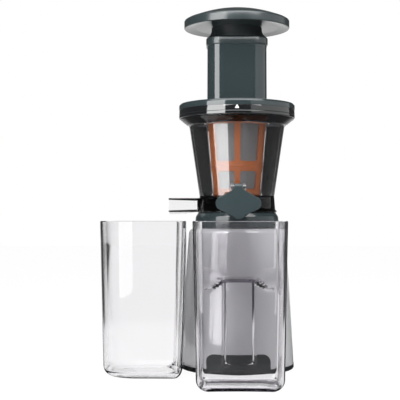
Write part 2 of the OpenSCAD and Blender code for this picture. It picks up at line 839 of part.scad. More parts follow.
module fan() {
    color([0.25, 0.27, 0.30]) difference() {
        union() {
            translate([0, 0, fan_z]) {
                cylinder(h = fan_h, r = motor_shaft_r + 4);
                cylinder(h = 1.6, r = fan_r);
            }
            around(fan_blades, 0) translate([motor_shaft_r + 2, -0.9, fan_z])
                cube([fan_r - motor_shaft_r - 4, 1.8, fan_h]);
        }
        translate([0, 0, fan_z - cut]) cylinder(h = fan_h + 2 * cut, r = motor_shaft_r);
    }
}

module first_gear() {
    color([0.86, 0.84, 0.76]) translate([pin_1[0], pin_1[1], 0]) difference() {
        union() {
            translate([0, 0, level_1]) rotate([0, 0, angle_1 + 180 + 180 / first_teeth])
                gear(pinion_m, first_teeth, gear_w, gear_slack);
            translate([0, 0, level_1]) rotate([0, 0, angle_12])
                gear(pinion_m, pinion_teeth, 2 * gear_w + gear_gap, gear_slack);
        }
        translate([0, 0, level_1 - cut]) cylinder(h = 3 * gear_w, r = gear_pin_r + run_fit);
    }
}

module second_gear() {
    color([0.86, 0.84, 0.76]) translate([pin_2[0], pin_2[1], 0]) difference() {
        union() {
            translate([0, 0, level_2]) rotate([0, 0, angle_12 + 180 + 180 / second_teeth])
                gear(pinion_m, second_teeth, gear_w, gear_slack);
            translate([0, 0, level_2]) rotate([0, 0, angle_2 + 180])
                gear(output_m, last_pinion_teeth, 2 * gear_w + gear_gap, gear_slack);
        }
        translate([0, 0, level_2 - cut]) cylinder(h = 3 * gear_w, r = gear_pin_r + run_fit);
    }
}

module output_gear() {
    color([0.70, 0.70, 0.72]) difference() {
        translate([0, 0, level_3]) rotate([0, 0, angle_2 + 180 / output_teeth])
            gear(output_m, output_teeth, gear_w, gear_slack);
        translate([0, 0, level_3 - cut]) cylinder(h = gear_w + 2 * cut, r = drive_r);
    }
}

module drive_shaft() {
    color([0.82, 0.82, 0.84]) {
        translate([0, 0, level_3 - gear_gap / 2]) cylinder(h = hex_z - level_3 + gear_gap / 2, r = drive_r);
        translate([0, 0, hex_z]) linear_extrude(height = hex_l) circle(r = hex_r, $fn = 6);
    }
}

// ---------------------------------------------------------------- bowl

// The pulp chute through the floor, and the post on the other side
module chute(side, r_in, r_out, half_w, z, h) {
    translate([0, 0, z]) linear_extrude(height = h) intersection() {
        difference() {
            circle(r_out);
            circle(r_in);
        }
        translate([side > 0 ? 0 : -r_out, -half_w]) square([r_out, 2 * half_w]);
    }
}

module bowl_shell() {
    rotate_extrude() polygon([
        [skirt_in_r, collar_top - skirt_depth], [skirt_out_r, collar_top - skirt_depth],
        [skirt_out_r, collar_top], [bowl_foot_r, collar_top], [bowl_foot_r, collar_top + 1.8],
        [bowl_low_r + 1.2, collar_top + 3.5], [bowl_low_r, foot_top],
        [bowl_high_r, under_z], [rim_r - 1.5, rim_z], [rim_r, rim_z + 0.6], [rim_r, rim_top],
        [rim_in_r, rim_top], [rim_in_r, rim_z + 1.6], [rim_in_r - 1.6, rim_z],
        [bowl_in(under_z), under_z + 1], [bowl_in(foot_top), foot_top],
        [bowl_in(foot_top), floor_top], [bowl_seal_r, floor_top],
        [bowl_seal_r, floor_top - floor_t], [skirt_in_r, floor_top - floor_t]]);
}

// Ramps that hold the lid's lugs down, each with a stop at its far end
module rim_ramps() {
    stop_start = lid_turn + lug_span / 2 + 1;
    intersection() {
        ring(rim_top - plug_depth, plug_depth - ramp_drop + cut, rim_in_r + 0.4, rim_in_r - ramp_in + 0.2);
        linear_extrude(height = rim_top)
            for (i = [0:ramp_count - 1])
                let (a = stop_start + i * 360 / ramp_count) wedge(2 * rim_r, a, a + stop_span);
    }
    intersection() {
        ring(rim_top - ramp_drop, ramp_t, rim_in_r + 0.4, rim_in_r - ramp_in);
        linear_extrude(height = rim_top)
            for (i = [0:ramp_count - 1])
                let (a = ramp_start + i * 360 / ramp_count) wedge(2 * rim_r, a, a + ramp_span);
    }
}

// The pulp duct from x_end out to its mouth; inset makes its inside
module duct_tube(inset, x_end) {
    half = duct_w / 2 - inset;
    over = inset > 0 ? cut : 0;
    translate([-duct_reach - over, -half, duct_z + inset])
        cube([duct_reach + over - x_end, 2 * half, duct_h - 2 * inset]);
}

// The duct's start: through the bowl's foot and under its floor
module duct_root(inset) {
    half = duct_w / 2 - inset;
    intersection() {
        union() {
            duct_tube(inset, bowl_low_r + (inset > 0 ? 2.6 : -2));
            translate([-bowl_foot_r - cut, -half, duct_z + inset])
                cube([bowl_foot_r + cut - duct_end - inset, 2 * half, floor_top - floor_t - duct_z - inset]);
        }
        cylinder(h = rim_top, r = joint_r + (inset > 0 ? cut : 0));
    }
}

// The boss on the bowl's front that the juice neck stands on
module spout_boss() {
    intersection() {
        translate([0, 0, spout_z + boss_r - spout_r]) rotate([90, 0, 0])
            translate([0, 0, bowl_low_r - 4]) cylinder(h = neck_start - bowl_low_r + 4, r = boss_r);
        translate([-boss_r, -spout_reach, duct_z]) cube([2 * boss_r, spout_reach, 3 * boss_r]);
    }
}

// The way for the juice from the bowl's floor into its neck
module juice_passage() {
    translate([-passage_w / 2, -spout_start - 2, floor_top])
        cube([passage_w, spout_start + 7 - bowl_low_r, passage_h]);
}

module hinge_ears() {
    for (side = [-1, 1])
        translate([side * (knuckle_w / 2 + 0.4 + ear_t / 2) - ear_t / 2, 0, 0])
            rotate([90, 0, 90]) linear_extrude(height = ear_t) {
                translate([hinge_y, hinge_z]) circle(ear_r);
                translate([hinge_y - ear_r, spout_z + spout_r - 4])
                    square([2 * ear_r, hinge_up - spout_r + 4]);
            }
}

module bowl() {
    color([0.24, 0.26, 0.28]) difference() {
        union() {
            bowl_shell();
            rim_ramps();
            chute(-1, chute_in_r - chute_wall, chute_out_r + chute_wall, duct_w / 2,
                floor_top - floor_t, strainer_z - floor_top + floor_t);
            chute(1, chute_in_r - chute_wall, chute_out_r + chute_wall, duct_w / 3,
                floor_top - floor_t, strainer_z - floor_top + floor_t);
            difference() {
                union() {
                    duct_root(0);
                    spout_boss();
                }
                translate([0, 0, floor_top]) cylinder(h = bowl_h, r = bowl_in(foot_top));
            }
        }
        chute(-1, chute_in_r, chute_out_r, duct_w / 2 - duct_wall,
            floor_top - floor_t - cut, strainer_z - floor_top + floor_t + 2 * cut);
        duct_root(duct_wall);
        juice_passage();
        for (side = [-1, 1]) translate([0, side * idler_reach, floor_top - floor_t - cut])
            cylinder(h = floor_t + 2 * cut, r = idler_pin_r);
    }
}

module pulp_spout() {
    color([0.24, 0.26, 0.28]) difference() {
        duct_tube(0, bowl_low_r - duct_wall);
        duct_tube(duct_wall, 0);
        cylinder(h = rim_top, r = joint_r);
    }
}

module juice_neck() {
    color([0.24, 0.26, 0.28]) difference() {
        union() {
            translate([0, 0, spout_z]) rotate([90, 0, 0]) {
                translate([0, 0, spout_start]) cylinder(h = spout_reach - spout_start, r = spout_r);
                intersection() {
                    translate([0, 0, neck_start]) cylinder(h = spout_start - neck_start + 0.5, r = spout_r);
                    translate([-spout_r, duct_z - spout_z, 0])
                        cube([2 * spout_r, 2 * spout_r, spout_reach]);
                }
            }
            hinge_ears();
        }
        translate([0, 0, spout_z]) rotate([90, 0, 0])
            translate([0, 0, spout_start + 1]) cylinder(h = spout_reach, r = spout_bore_r);
        juice_passage();
        translate([-bowl_low_r, hinge_y, hinge_z]) rotate([0, 90, 0])
            cylinder(h = 2 * bowl_low_r, r = hinge_pin_r);
    }
}

module bowl_seal() {
    color([0.75, 0.75, 0.75])
        ring(floor_top - floor_t - 0.4, floor_t + 0.4, bowl_seal_r, spigot_r + soft_gap);
}

module idler_pins() {
    color([0.82, 0.82, 0.84]) for (side = [-1, 1])
        translate([0, side * idler_reach, floor_top - floor_t])
            cylinder(h = floor_t + soft_gap + bowl_gear_h + 0.6, r = idler_pin_r);
}

module strainer_frame() {
    inset = strainer_wall - mesh_t;
    color([0.78, 0.38, 0.19]) {
        difference() {
            rotate_extrude() polygon([
                [floor_hole_r, strainer_z], [strainer_out(strainer_z), strainer_z],
                [strainer_out(strainer_top), strainer_top], [strainer_ring_r, strainer_top],
                [strainer_ring_r, strainer_top + strainer_ring_h],
                [strainer_high_r - strainer_wall, strainer_top + strainer_ring_h],
                [strainer_out(strainer_top) - strainer_wall, strainer_top],
                [strainer_out(strainer_top) - inset, strainer_top],
                [strainer_out(mesh_z) - inset, mesh_z],
                [strainer_out(mesh_z) - strainer_wall, mesh_z],
                [strainer_out(strainer_z + strainer_plate) - strainer_wall, strainer_z + strainer_plate],
                [floor_hole_r, strainer_z + strainer_plate]]);
            around(rib_count, -90 + 180 / rib_count) {
                strainer_window(window_z, window_mid - middle_ring_h / 2);
                strainer_window(window_mid + middle_ring_h / 2, window_top);
            }
            chute(-1, chute_in_r, chute_out_r - 1.2, duct_w / 2 - duct_wall,
                strainer_z - cut, strainer_plate + 2 * cut);
        }
    }
}

// One window between two ribs, cut straight outwards
module strainer_window(low, top) {
    width = strainer_out((low + top) / 2) * 2 * sin(180 / rib_count) - rib_w;
    translate([strainer_low_r / 2, 0, (low + top) / 2]) rotate([90, 0, 90])
        linear_extrude(height = strainer_high_r) round_rect(width, top - low, window_round);
}

module strainer_mesh() {
    outer = strainer_wall - mesh_t;
    color([0.72, 0.70, 0.71]) rotate_extrude() polygon([
        [strainer_out(mesh_z) - outer, mesh_z],
        [strainer_out(strainer_top) - outer, strainer_top],
        [strainer_out(strainer_top) - strainer_wall, strainer_top],
        [strainer_out(mesh_z) - strainer_wall, mesh_z]]);
}

module hinge_pin() {
    half = knuckle_w / 2 + 0.4 + ear_t;
    color([0.70, 0.70, 0.72]) translate([-half, hinge_y, hinge_z]) rotate([0, 90, 0])
        cylinder(h = 2 * half, r = hinge_pin_r);
}

// ---------------------------------------------------------------- scroll

// 0 between the flights, 1 on a flight's land, with sloping flanks
function flight(u) = let (d = abs(u - 0.5))
    d < flight_land / 2 ? 1 : d > flight_land / 2 + flight_flank ? 0
    : 0.5 + 0.5 * cos(180 * (d - flight_land / 2) / flight_flank);
function scroll_r(a, t) =
    let (z = scroll_z + scroll_h * t,
         outer = strainer_out(z) - strainer_wall - scroll_gap,
         core = core_low_r + (core_high_r - core_low_r) * t,
         turn = flights * (a / 360 + scroll_h * t / scroll_pitch))
    core + (outer - core) * flight(turn - floor(turn));

module scroll_thread() {
    points = concat(
        [for (k = [0:scroll_levels], i = [0:scroll_sides - 1])
            let (a = i * 360 / scroll_sides, t = k / scroll_levels, r = scroll_r(a, t))
            [r * cos(a), r * sin(a), scroll_z + scroll_h * t]],
        [[0, 0, scroll_z], [0, 0, scroll_top]]);
    low_mid = (scroll_levels + 1) * scroll_sides;
    polyhedron(points = points, faces = concat(
        [for (k = [0:scroll_levels - 1], i = [0:scroll_sides - 1])
            let (j = (i + 1) % scroll_sides, p = k * scroll_sides)
            [p + i, p + scroll_sides + i, p + j]],
        [for (k = [0:scroll_levels - 1], i = [0:scroll_sides - 1])
            let (j = (i + 1) % scroll_sides, p = k * scroll_sides)
            [p + j, p + scroll_sides + i, p + scroll_sides + j]],
        [for (i = [0:scroll_sides - 1]) [low_mid, i, (i + 1) % scroll_sides]],
        [for (i = [0:scroll_sides - 1]) let (p = scroll_levels * scroll_sides)
            [low_mid + 1, p + (i + 1) % scroll_sides, p + i]]));
}

module scroll() {
    color([0.20, 0.22, 0.23]) difference() {
        union() {
            scroll_thread();
            translate([0, 0, scroll_top - 0.5]) cylinder(h = tip_h + 0.5, r1 = core_high_r - 1, r2 = tip_r);
            translate([0, 0, strainer_z - 0.8]) cylinder(h = scroll_z - strainer_z + 1.3, r = hub_r);
            translate([0, 0, floor_top - floor_t]) cylinder(h = strainer_z - floor_top + 2, r = spigot_r);
        }
        translate([0, 0, floor_top - floor_t - cut])
            linear_extrude(height = hex_z + hex_l + socket_h - floor_top + floor_t + cut)
                circle(r = hex_r + hex_gap, $fn = 6);
    }
}

module scroll_gear() {
    color([0.70, 0.70, 0.72]) difference() {
        translate([0, 0, bowl_gear_z]) rotate([0, 0, 90])
            gear(bowl_gear_m, sun_teeth, bowl_gear_h, bowl_gear_slack);
        translate([0, 0, bowl_gear_z - cut]) cylinder(h = bowl_gear_h + 2 * cut, r = spigot_r);
    }
}

module idler(side) {
    color([0.86, 0.84, 0.76]) translate([0, side * idler_reach, bowl_gear_z]) difference() {
        rotate([0, 0, 90 + 180 / idler_teeth])
            gear(bowl_gear_m, idler_teeth, bowl_gear_h, bowl_gear_slack);
        translate([0, 0, -cut]) cylinder(h = bowl_gear_h + 2 * cut, r = idler_pin_r + run_fit);
    }
}
module idler_front() { idler(-1); }
module idler_rear() { idler(1); }

// ---------------------------------------------------------------- wiper

// Inner and outer edge of a wiper arm in its own plane at height z
function arm_in(z) = strainer_out(z) + soft_gap + lip_w;
function arm_out(z) = bowl_in(z) - soft_gap - lip_w;

module wiper_arm() {
    rotate([90, 0, 0]) translate([0, 0, -wiper_t / 2]) linear_extrude(height = wiper_t)
        polygon([[ring_r - 3.4, wiper_z - 1], [ring_r, wiper_z - 1],
            [arm_out(wiper_low), wiper_low], [arm_out(wiper_top), wiper_top],
            [arm_in(wiper_top), wiper_top], [arm_in(wiper_low), wiper_low]]);
}

module wiper() {
    color([0.23, 0.25, 0.26]) {
        difference() {
            translate([0, 0, bowl_gear_z]) cylinder(h = bowl_gear_h, r = ring_r);
            translate([0, 0, bowl_gear_z - cut]) rotate([0, 0, 90 + 180 / ring_teeth])
                linear_extrude(height = bowl_gear_h + 2 * cut)
                    polygon(gear_points(bowl_gear_m, ring_teeth, 1.3 * bowl_gear_m,
                        0.8 * bowl_gear_m, -bowl_gear_slack));
        }
        around(2, 0) wiper_arm();
    }
}

module wiper_lips() {
    lip_t = wiper_t / 2;
    color([0.45, 0.46, 0.47]) around(2, 0) rotate([90, 0, 0]) translate([0, 0, -lip_t / 2])
        linear_extrude(height = lip_t) {
            polygon([[arm_in(wiper_low), wiper_low], [arm_in(wiper_top), wiper_top],
                [arm_in(wiper_top) - lip_w, wiper_top], [arm_in(wiper_low) - lip_w, wiper_low]]);
            polygon([[arm_out(wiper_low), wiper_low], [arm_out(wiper_low) + lip_w, wiper_low],
                [arm_out(wiper_top) + lip_w, wiper_top], [arm_out(wiper_top), wiper_top]]);
        }
}

// ---------------------------------------------------------------- drip stop

module drip_stop() {
    color([0.25, 0.30, 0.31]) difference() {
        union() {
            translate([0, drip_y, 0]) rotate([90, 0, 0]) linear_extrude(height = drip_t) hull() {
                for (side = [-1, 1]) translate([side * (drip_w / 2 - wing_r), spout_z])
                    circle(wing_r, $fn = 32);
                translate([0, spout_z - drip_drop + drip_tip_r]) circle(drip_tip_r, $fn = 32);
                translate([0, hinge_z - drip_top_drop]) circle(drip_top_r, $fn = 32);
            }
            translate([-knuckle_w / 2, 0, 0]) rotate([90, 0, 90]) linear_extrude(height = knuckle_w) {
                translate([hinge_y, hinge_z]) circle(knuckle_r);
                translate([drip_y - drip_t / 2, hinge_z - 2.5])
                    square([hinge_y - drip_y + drip_t / 2, 5]);
            }
        }
        translate([-knuckle_w, hinge_y, hinge_z]) rotate([0, 90, 0])
            cylinder(h = 2 * knuckle_w, r = hinge_pin_r + run_fit);
        translate([0, drip_y + cut, spout_z]) rotate([90, 0, 0])
            cylinder(h = drip_seal_t - soft_gap + cut, r = drip_seal_r);
    }
}

module drip_seal() {
    color([0.55, 0.56, 0.56]) translate([0, drip_y + soft_gap, spout_z]) rotate([90, 0, 0]) {
        cylinder(h = drip_seal_t, r = drip_seal_r);
        translate([0, 0, -1.4]) cylinder(h = 2, r = spout_bore_r - 2 * soft_gap);
    }
}

// ---------------------------------------------------------------- lid

module tube_section(grow) {
    round_rect(tube_w + 2 * grow, tube_d + 2 * grow, tube_round + grow);
}

module lid_seal() {
    color([0.80, 0.80, 0.80]) ring(rim_top - soft_gap - seal_ring_h, seal_ring_h,
        rim_in_r - soft_gap, plug_r + run_fit);
}

module lid() {
    throat_z = strainer_top + strainer_ring_h + soft_gap;
    skirt_in = strainer_ring_r + soft_gap;
    color([0.23, 0.26, 0.28]) difference() {
        union() {
            rotate_extrude() polygon(concat([[0, rim_top], [throat_r, rim_top], [throat_r, throat_z],
                [skirt_in, throat_z], [skirt_in, throat_z - 4.5], [skirt_in + skirt_wall, throat_z - 4.5],
                [skirt_in + skirt_wall, rim_top], [plug_r - plug_wall, rim_top],
                [plug_r - plug_wall, rim_top - plug_depth], [plug_r, rim_top - plug_depth],
                [plug_r, rim_top], [rim_r, rim_top]],
                [for (a = [0:arc_step:90]) [rim_r - 2 + 2 * cos(a), flange_top - 2 + 2 * sin(a)]],
                [[0, flange_top]]));
            translate([0, 0, flange_top - 0.5]) linear_extrude(height = tube_h + 1) tube_section(0);
            translate([0, 0, tube_top]) linear_extrude(height = lip_h) tube_section(lip_out);
            intersection() {
                ring(rim_top - plug_depth, lug_h, rim_in_r - soft_gap, plug_r - 0.5);
                linear_extrude(height = rim_top)
                    for (i = [0:ramp_count - 1]) let (a = i * 360 / ramp_count - lug_span / 2)
                        wedge(2 * rim_r, a, a + lug_span);
            }
        }
        translate([0, 0, throat_z - cut]) intersection() {
            linear_extrude(height = rim_top - throat_z + 2 * cut) tube_section(-tube_wall);
            cylinder(h = rim_top, r = throat_r);
        }
        translate([0, 0, rim_top + 0.5])
            linear_extrude(height = flange_h + tube_h + lip_h + cut) tube_section(-tube_wall);
    }
}

// ---------------------------------------------------------------- pusher

module pusher() {
    disc_top = disc_z + disc_h;
    shoulder_z = lip_top + soft_gap;
    color([0.22, 0.26, 0.27]) {
        rotate_extrude() polygon(concat([[0, disc_z], [disc_r - disc_round, disc_z]],
            [for (a = [-90:30:0])
                [disc_r - disc_round + disc_round * cos(a), disc_z + disc_round + disc_round * sin(a)]],
            [for (a = [0:30:90])
                [disc_r - disc_round + disc_round * cos(a), disc_top - disc_round + disc_round * sin(a)]],
            [for (i = [1:dome_steps]) let (t = 1 - i / dome_steps)
                [(disc_r - disc_round) * t, disc_top + dome_h * (1 - t * t)]]));
        hull() {
            translate([0, 0, shoulder_z]) linear_extrude(height = 2) tube_section(0);
            translate([0, 0, shoulder_z + neck_h / 2]) cylinder(h = 1, r = neck_r, $fn = 32);
        }
        translate([0, 0, shoulder_z + neck_h / 3])
            cylinder(h = disc_z + 1 - shoulder_z - neck_h / 3, r = neck_r);
        translate([0, 0, pusher_z + pusher_base_t]) linear_extrude(height = shoulder_z - pusher_z)
            difference() {
                round_rect(body_w, body_d, body_round);
                round_rect(body_w - 2 * pusher_wall, body_d - 2 * pusher_wall, body_round - pusher_wall);
            }
    }
}

module pusher_base() {
    color([0.22, 0.26, 0.27]) translate([0, 0, pusher_z]) {
        linear_extrude(height = pusher_base_t) round_rect(body_w, body_d, body_round);
        linear_extrude(height = pusher_base_t + 4)
            round_rect(body_w - 2 * pusher_wall, body_d - 2 * pusher_wall, body_round - pusher_wall);
    }
}

// ---------------------------------------------------------------- jugs

// A thin slice of a jug: a rounded rectangle between two corners
module slice(x0, x1, y0, y1, r, z) {
    translate([(x0 + x1) / 2, (y0 + y1) / 2, z]) linear_extrude(height = slice_h)
        round_rect(x1 - x0, y1 - y0, r, $fn = slice_sides);
}

// How far the juice jug's sides lean in at height z
function lean(z) = jug_taper * (1 - min(z, jug_top) / jug_top);

// The juice jug between two heights; inset makes its inside
module juice_block(inset, low, top, back) {
    r = jug_round - inset;
    hull() for (z = [low, top]) {
        half = juice_jug_w / 2 - inset - lean(z);
        slice(-half, half, -juice_jug_front + inset, -back - inset, r, z == low ? z : z - slice_h);
    }
}

// The grip groove's outline across the jug's back, with a round lower end
module grip_groove(grow, depth) {
    translate([0, -juice_jug_low_back + cut, 0]) rotate([90, 0, 0])
        linear_extrude(height = depth + cut) {
            translate([0, groove_low + groove_w / 2]) circle(groove_w / 2 + grow);
            translate([-groove_w / 2 - grow, groove_low + groove_w / 2])
                square([groove_w + 2 * grow, step_z - groove_low - groove_w / 2 + grow]);
        }
}

module juice_jug() {
    color([0.90, 0.89, 0.92]) difference() {
        union() {
            juice_block(0, nub_h / 2, jug_top, juice_jug_low_back);
            juice_block(0, step_z, jug_top, juice_jug_back);
            for (x = [-1, 1], y = [juice_jug_front - jug_round, juice_jug_low_back + jug_round])
                translate([x * juice_jug_w / 3, -y, 0]) cylinder(h = nub_h, r = nub_r);
        }
        difference() {
            juice_block(jug_wall, jug_floor, jug_top + cut, juice_jug_low_back);
            grip_groove(jug_wall, groove_d + jug_wall);
        }
        juice_block(jug_wall, step_z + jug_wall, jug_top + cut, juice_jug_back);
        intersection() {
            grip_groove(0, groove_d);
            translate([-groove_w, -juice_jug_front, 0]) cube([2 * groove_w, juice_jug_front, step_z]);
        }
    }
}

// The pulp jug between two heights, hollowed to stand beside the power unit
module pulp_block(inset, low, top) {
    far_r = pulp_jug_round - inset;
    near_r = jug_round - inset;
    far_x = -pulp_jug_left + pulp_jug_round;
    near_x = -pulp_jug_right - jug_round;
    y_low = -pulp_jug_front + inset;
    y_high = pulp_jug_rear - inset;
    translate([0, 0, low]) linear_extrude(height = top - low) difference() {
        union() {
            for (y = [y_low + far_r, y_high - far_r]) translate([far_x, y]) circle(far_r);
            for (y = [y_low + near_r, y_high - near_r]) translate([near_x, y]) circle(near_r);
            translate([far_x, y_low]) square([near_x - far_x, y_high - y_low]);
            translate([far_x - far_r, y_low + far_r]) square([far_r, y_high - y_low - 2 * far_r]);
            translate([near_x, y_low + near_r]) square([near_r, y_high - y_low - 2 * near_r]);
        }
        circle(base_r + base_lip + pulp_jug_clear + inset);
    }
}

module pulp_jug() {
    color([0.92, 0.91, 0.90]) difference() {
        pulp_block(0, 0, jug_top);
        pulp_block(jug_wall, jug_floor, jug_top + cut);
    }
}

// ---------------------------------------------------------------- nodes

housing();
apron();
base_plate();
foot_ring();
base_screws();
collar();
motor_stator();
motor_winding();
upper_bell();
lower_bell();
motor_bearings();
gearbox_case();
gearbox_cover();
cover_screws();
gear_pins();
drive_bearing();
drive_seal();
circuit_board();
capacitor();
switch_bezel();
cord_gland();
switch_rocker();
rotor_core();
rotor_shaft();
fan();
first_gear();
second_gear();
output_gear();
drive_shaft();
bowl();
pulp_spout();
juice_neck();
bowl_seal();
idler_pins();
strainer_frame();
strainer_mesh();
hinge_pin();
scroll();
scroll_gear();
idler_front();
idler_rear();
wiper();
wiper_lips();
drip_stop();
drip_seal();
lid_seal();
lid();
pusher();
pusher_base();
juice_jug();
pulp_jug();
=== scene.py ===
import json
import math

import bmesh
import bpy
from mathutils import Matrix, Vector


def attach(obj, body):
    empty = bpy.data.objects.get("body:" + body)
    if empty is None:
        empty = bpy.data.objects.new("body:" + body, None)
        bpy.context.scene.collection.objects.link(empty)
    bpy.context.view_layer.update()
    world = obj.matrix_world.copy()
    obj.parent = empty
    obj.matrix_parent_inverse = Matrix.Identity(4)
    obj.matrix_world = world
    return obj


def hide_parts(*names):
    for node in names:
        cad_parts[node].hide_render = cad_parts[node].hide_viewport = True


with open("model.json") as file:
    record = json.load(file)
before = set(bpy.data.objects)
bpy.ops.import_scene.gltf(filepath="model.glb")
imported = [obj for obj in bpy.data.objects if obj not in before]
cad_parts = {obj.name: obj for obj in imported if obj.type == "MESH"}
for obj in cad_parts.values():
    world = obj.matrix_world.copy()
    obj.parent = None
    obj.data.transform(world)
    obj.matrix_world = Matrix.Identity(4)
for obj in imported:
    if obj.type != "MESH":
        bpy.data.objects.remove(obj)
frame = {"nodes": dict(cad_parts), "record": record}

bl_info = {
    "name": "Cold press juicer",
    "version": (1, 0, 0),
    "blender": (4, 5, 0),
    "location": "View3D > Sidebar > Juicer",
    "description": "Builds the looks of a cold press juicer around its CAD parts",
    "category": "Add Mesh",
}

MM = 0.001
SEAM = 0.02  # millimetres between two pieces that would share a face
ROUND = 144  # points round a turned piece
JUG_TOP, JUG_BRIM = 180.0, 179.2  # the jugs' rims, and where they start to round
WHITE = (1, 1, 1, 1)
FINISHES = {}


# ---------------------------------------------------------------- shader sums


class Wire:
    """One output of a shader node. Sums and products of it add Math nodes."""

    def __init__(self, finish, socket):
        self.finish = finish
        self.socket = socket

    def _math(self, operation, first, second):
        return self.finish.node(
            "ShaderNodeMath", {"operation": operation}, {0: first, 1: second}
        )

    def __add__(self, other):
        return self._math("ADD", self, other)

    def __radd__(self, other):
        return self._math("ADD", other, self)

    def __sub__(self, other):
        return self._math("SUBTRACT", self, other)

    def __rsub__(self, other):
        return self._math("SUBTRACT", other, self)

    def __mul__(self, other):
        return self._math("MULTIPLY", self, other)

    def __rmul__(self, other):
        return self._math("MULTIPLY", other, self)

    def __truediv__(self, other):
        return self._math("DIVIDE", self, other)

    def __rtruediv__(self, other):
        return self._math("DIVIDE", other, self)

    def __gt__(self, other):
        return self._math("GREATER_THAN", self, other)

    def __lt__(self, other):
        return self._math("LESS_THAN", self, other)


class Finish:
    """A material, or the world, whose nodes are added one by one."""

    def __init__(self, owner):
        self.owner = owner
        owner.use_nodes = True
        self.tree = owner.node_tree
        self.tree.nodes.clear()

    def node(self, kind, settings=None, inputs=None, out=0):
        """A node of that kind with its settings made first, then its inputs.

        out picks the output; a tuple of names gives that many outputs, and None
        gives none.
        """
        made = self.tree.nodes.new(kind)
        for key, value in (settings or {}).items():
            setattr(made, key, value)
        for key, value in (inputs or {}).items():
            if isinstance(value, Wire):
                self.tree.links.new(value.socket, made.inputs[key])
            else:
                made.inputs[key].default_value = value
        if out is None:
            return None
        if isinstance(out, tuple):
            return [Wire(self, made.outputs[name]) for name in out]
        return Wire(self, made.outputs[out])

    def place(self, scale=(1, 1, 1)):
        """Where a point of the piece is, in metres, stretched by scale."""
        here = self.node("ShaderNodeTexCoord", out="Object")
        if tuple(scale) == (1, 1, 1):
            return here
        return self.node(
            "ShaderNodeVectorMath", {"operation": "MULTIPLY"}, {0: here, 1: scale}
        )

    def axes(self):
        """The x, y and z of a point of the piece, in metres."""
        return self.node("ShaderNodeSeparateXYZ", None, {0: self.place()}, ("X", "Y", "Z"))

    def ramp(self, value, start, end):
        """A soft step: 0 where the value is start and 1 where it is end."""
        return self.node(
            "ShaderNodeMapRange",
            {"interpolation_type": "SMOOTHSTEP"},
            {"Value": value, "From Min": start, "From Max": end},
        )

    def sine(self, value):
        """The sine of an angle in radians."""
        return self.node("ShaderNodeMath", {"operation": "SINE"}, {0: value})

    def size(self, value):
        """The value without its sign."""
        return self.node("ShaderNodeMath", {"operation": "ABSOLUTE"}, {0: value})

    def grain(self, size, detail, stretch=(1, 1, 1)):
        """Soft noise from 0 to 1 whose lumps are about size millimetres across."""
        return self.node(
            "ShaderNodeTexNoise",
            inputs={
                "Vector": self.place(stretch),
                "Scale": 1 / (size * MM),
                "Detail": detail,
            },
        )

    def blend(self, factor, first, second):
        """The first colour where factor is 0 and the second where it is 1."""
        return self.node(
            "ShaderNodeMix", {"data_type": "RGBA"}, {0: factor, 6: first, 7: second}, 2
        )

    def bump(self, height, depth):
        """Raises the surface by up to depth millimetres where height is 1."""
        return self.node(
            "ShaderNodeBump",
            inputs={"Strength": 1.0, "Distance": depth * MM, "Height": height},
        )

    def surface(self, shader, volume=None):
        """Ends the material with its shader, and with what fills the piece."""
        inputs = {"Surface": shader}
        if volume:
            inputs["Volume"] = volume
        self.node("ShaderNodeOutputMaterial", None, inputs, None)

    def principled(self, **inputs):
        """The shader itself; names of sockets are written with underscores."""
        plain = {key.replace("_", " "): value for key, value in inputs.items()}
        return self.node("ShaderNodeBsdfPrincipled", inputs=plain)


def shade(colour, factor):
    """The colour made lighter or darker, with its alpha."""
    return (*(min(1.0, channel * factor) for channel in colour[:3]), 1.0)


# ---------------------------------------------------------------- finishes


def new_finish(name):
    """A bare finish that the pieces ask for by that name."""
    finish = Finish(bpy.data.materials.new(name))
    FINISHES[name] = finish.owner
    return finish


def moulded(
    name, colour, gloss, grain_depth, mottling=0.06, coat=0.0, coat_ior=1.5, coat_blur=0.05
):
    """Moulded plastic: faint mottling, hairline wear in the gloss, fine skin."""
    finish = new_finish(name)
    cloud = finish.grain(28, 3)
    skin = finish.grain(0.7, 2)
    wear = finish.grain(3.5, 4, (1, 1, 0.25))
    finish.surface(
        finish.principled(
            Base_Color=finish.blend(
                cloud, shade(colour, 1 - mottling), shade(colour, 1 + mottling)
            ),
            Roughness=gloss + 0.10 * (wear - 0.5) + 0.05 * (cloud - 0.5),
            IOR=1.5,
            Coat_Weight=coat,
            Coat_Roughness=coat_blur,
            Coat_IOR=coat_ior,
            Normal=finish.bump(skin, grain_depth),
        )
    )


def silver_paint(name, colour):
    """Satin silver paint with fine flakes."""
    finish = new_finish(name)
    flake = finish.grain(0.35, 1)
    cloud = finish.grain(40, 2)
    sheen = 0.7 * flake + 0.3 * cloud
    finish.surface(
        finish.principled(
            Base_Color=finish.blend(sheen, shade(colour, 0.93), shade(colour, 1.06)),
            Metallic=0.1,
            Roughness=0.48 + 0.10 * (flake - 0.5) + 0.04 * (cloud - 0.5),
            Coat_Weight=1.0,
            Coat_Roughness=0.04,
            Coat_IOR=2.2,
            Normal=finish.bump(flake, 0.002),
        )
    )


def turned_metal(name, colour, roughness, pitch, depth):
    """Metal turned on a lathe, with fine rings along its axis."""
    finish = new_finish(name)
    rings = finish.grain(pitch, 2, (0.04, 0.04, 1))
    stain = finish.grain(9, 3)
    finish.surface(
        finish.principled(
            Base_Color=finish.blend(
                0.6 * rings + 0.4 * stain, shade(colour, 0.86), shade(colour, 1.08)
            ),
            Metallic=1.0,
            Roughness=roughness + 0.16 * (rings - 0.5) + 0.08 * (stain - 0.5),
            Normal=finish.bump(rings, depth),
        )
    )


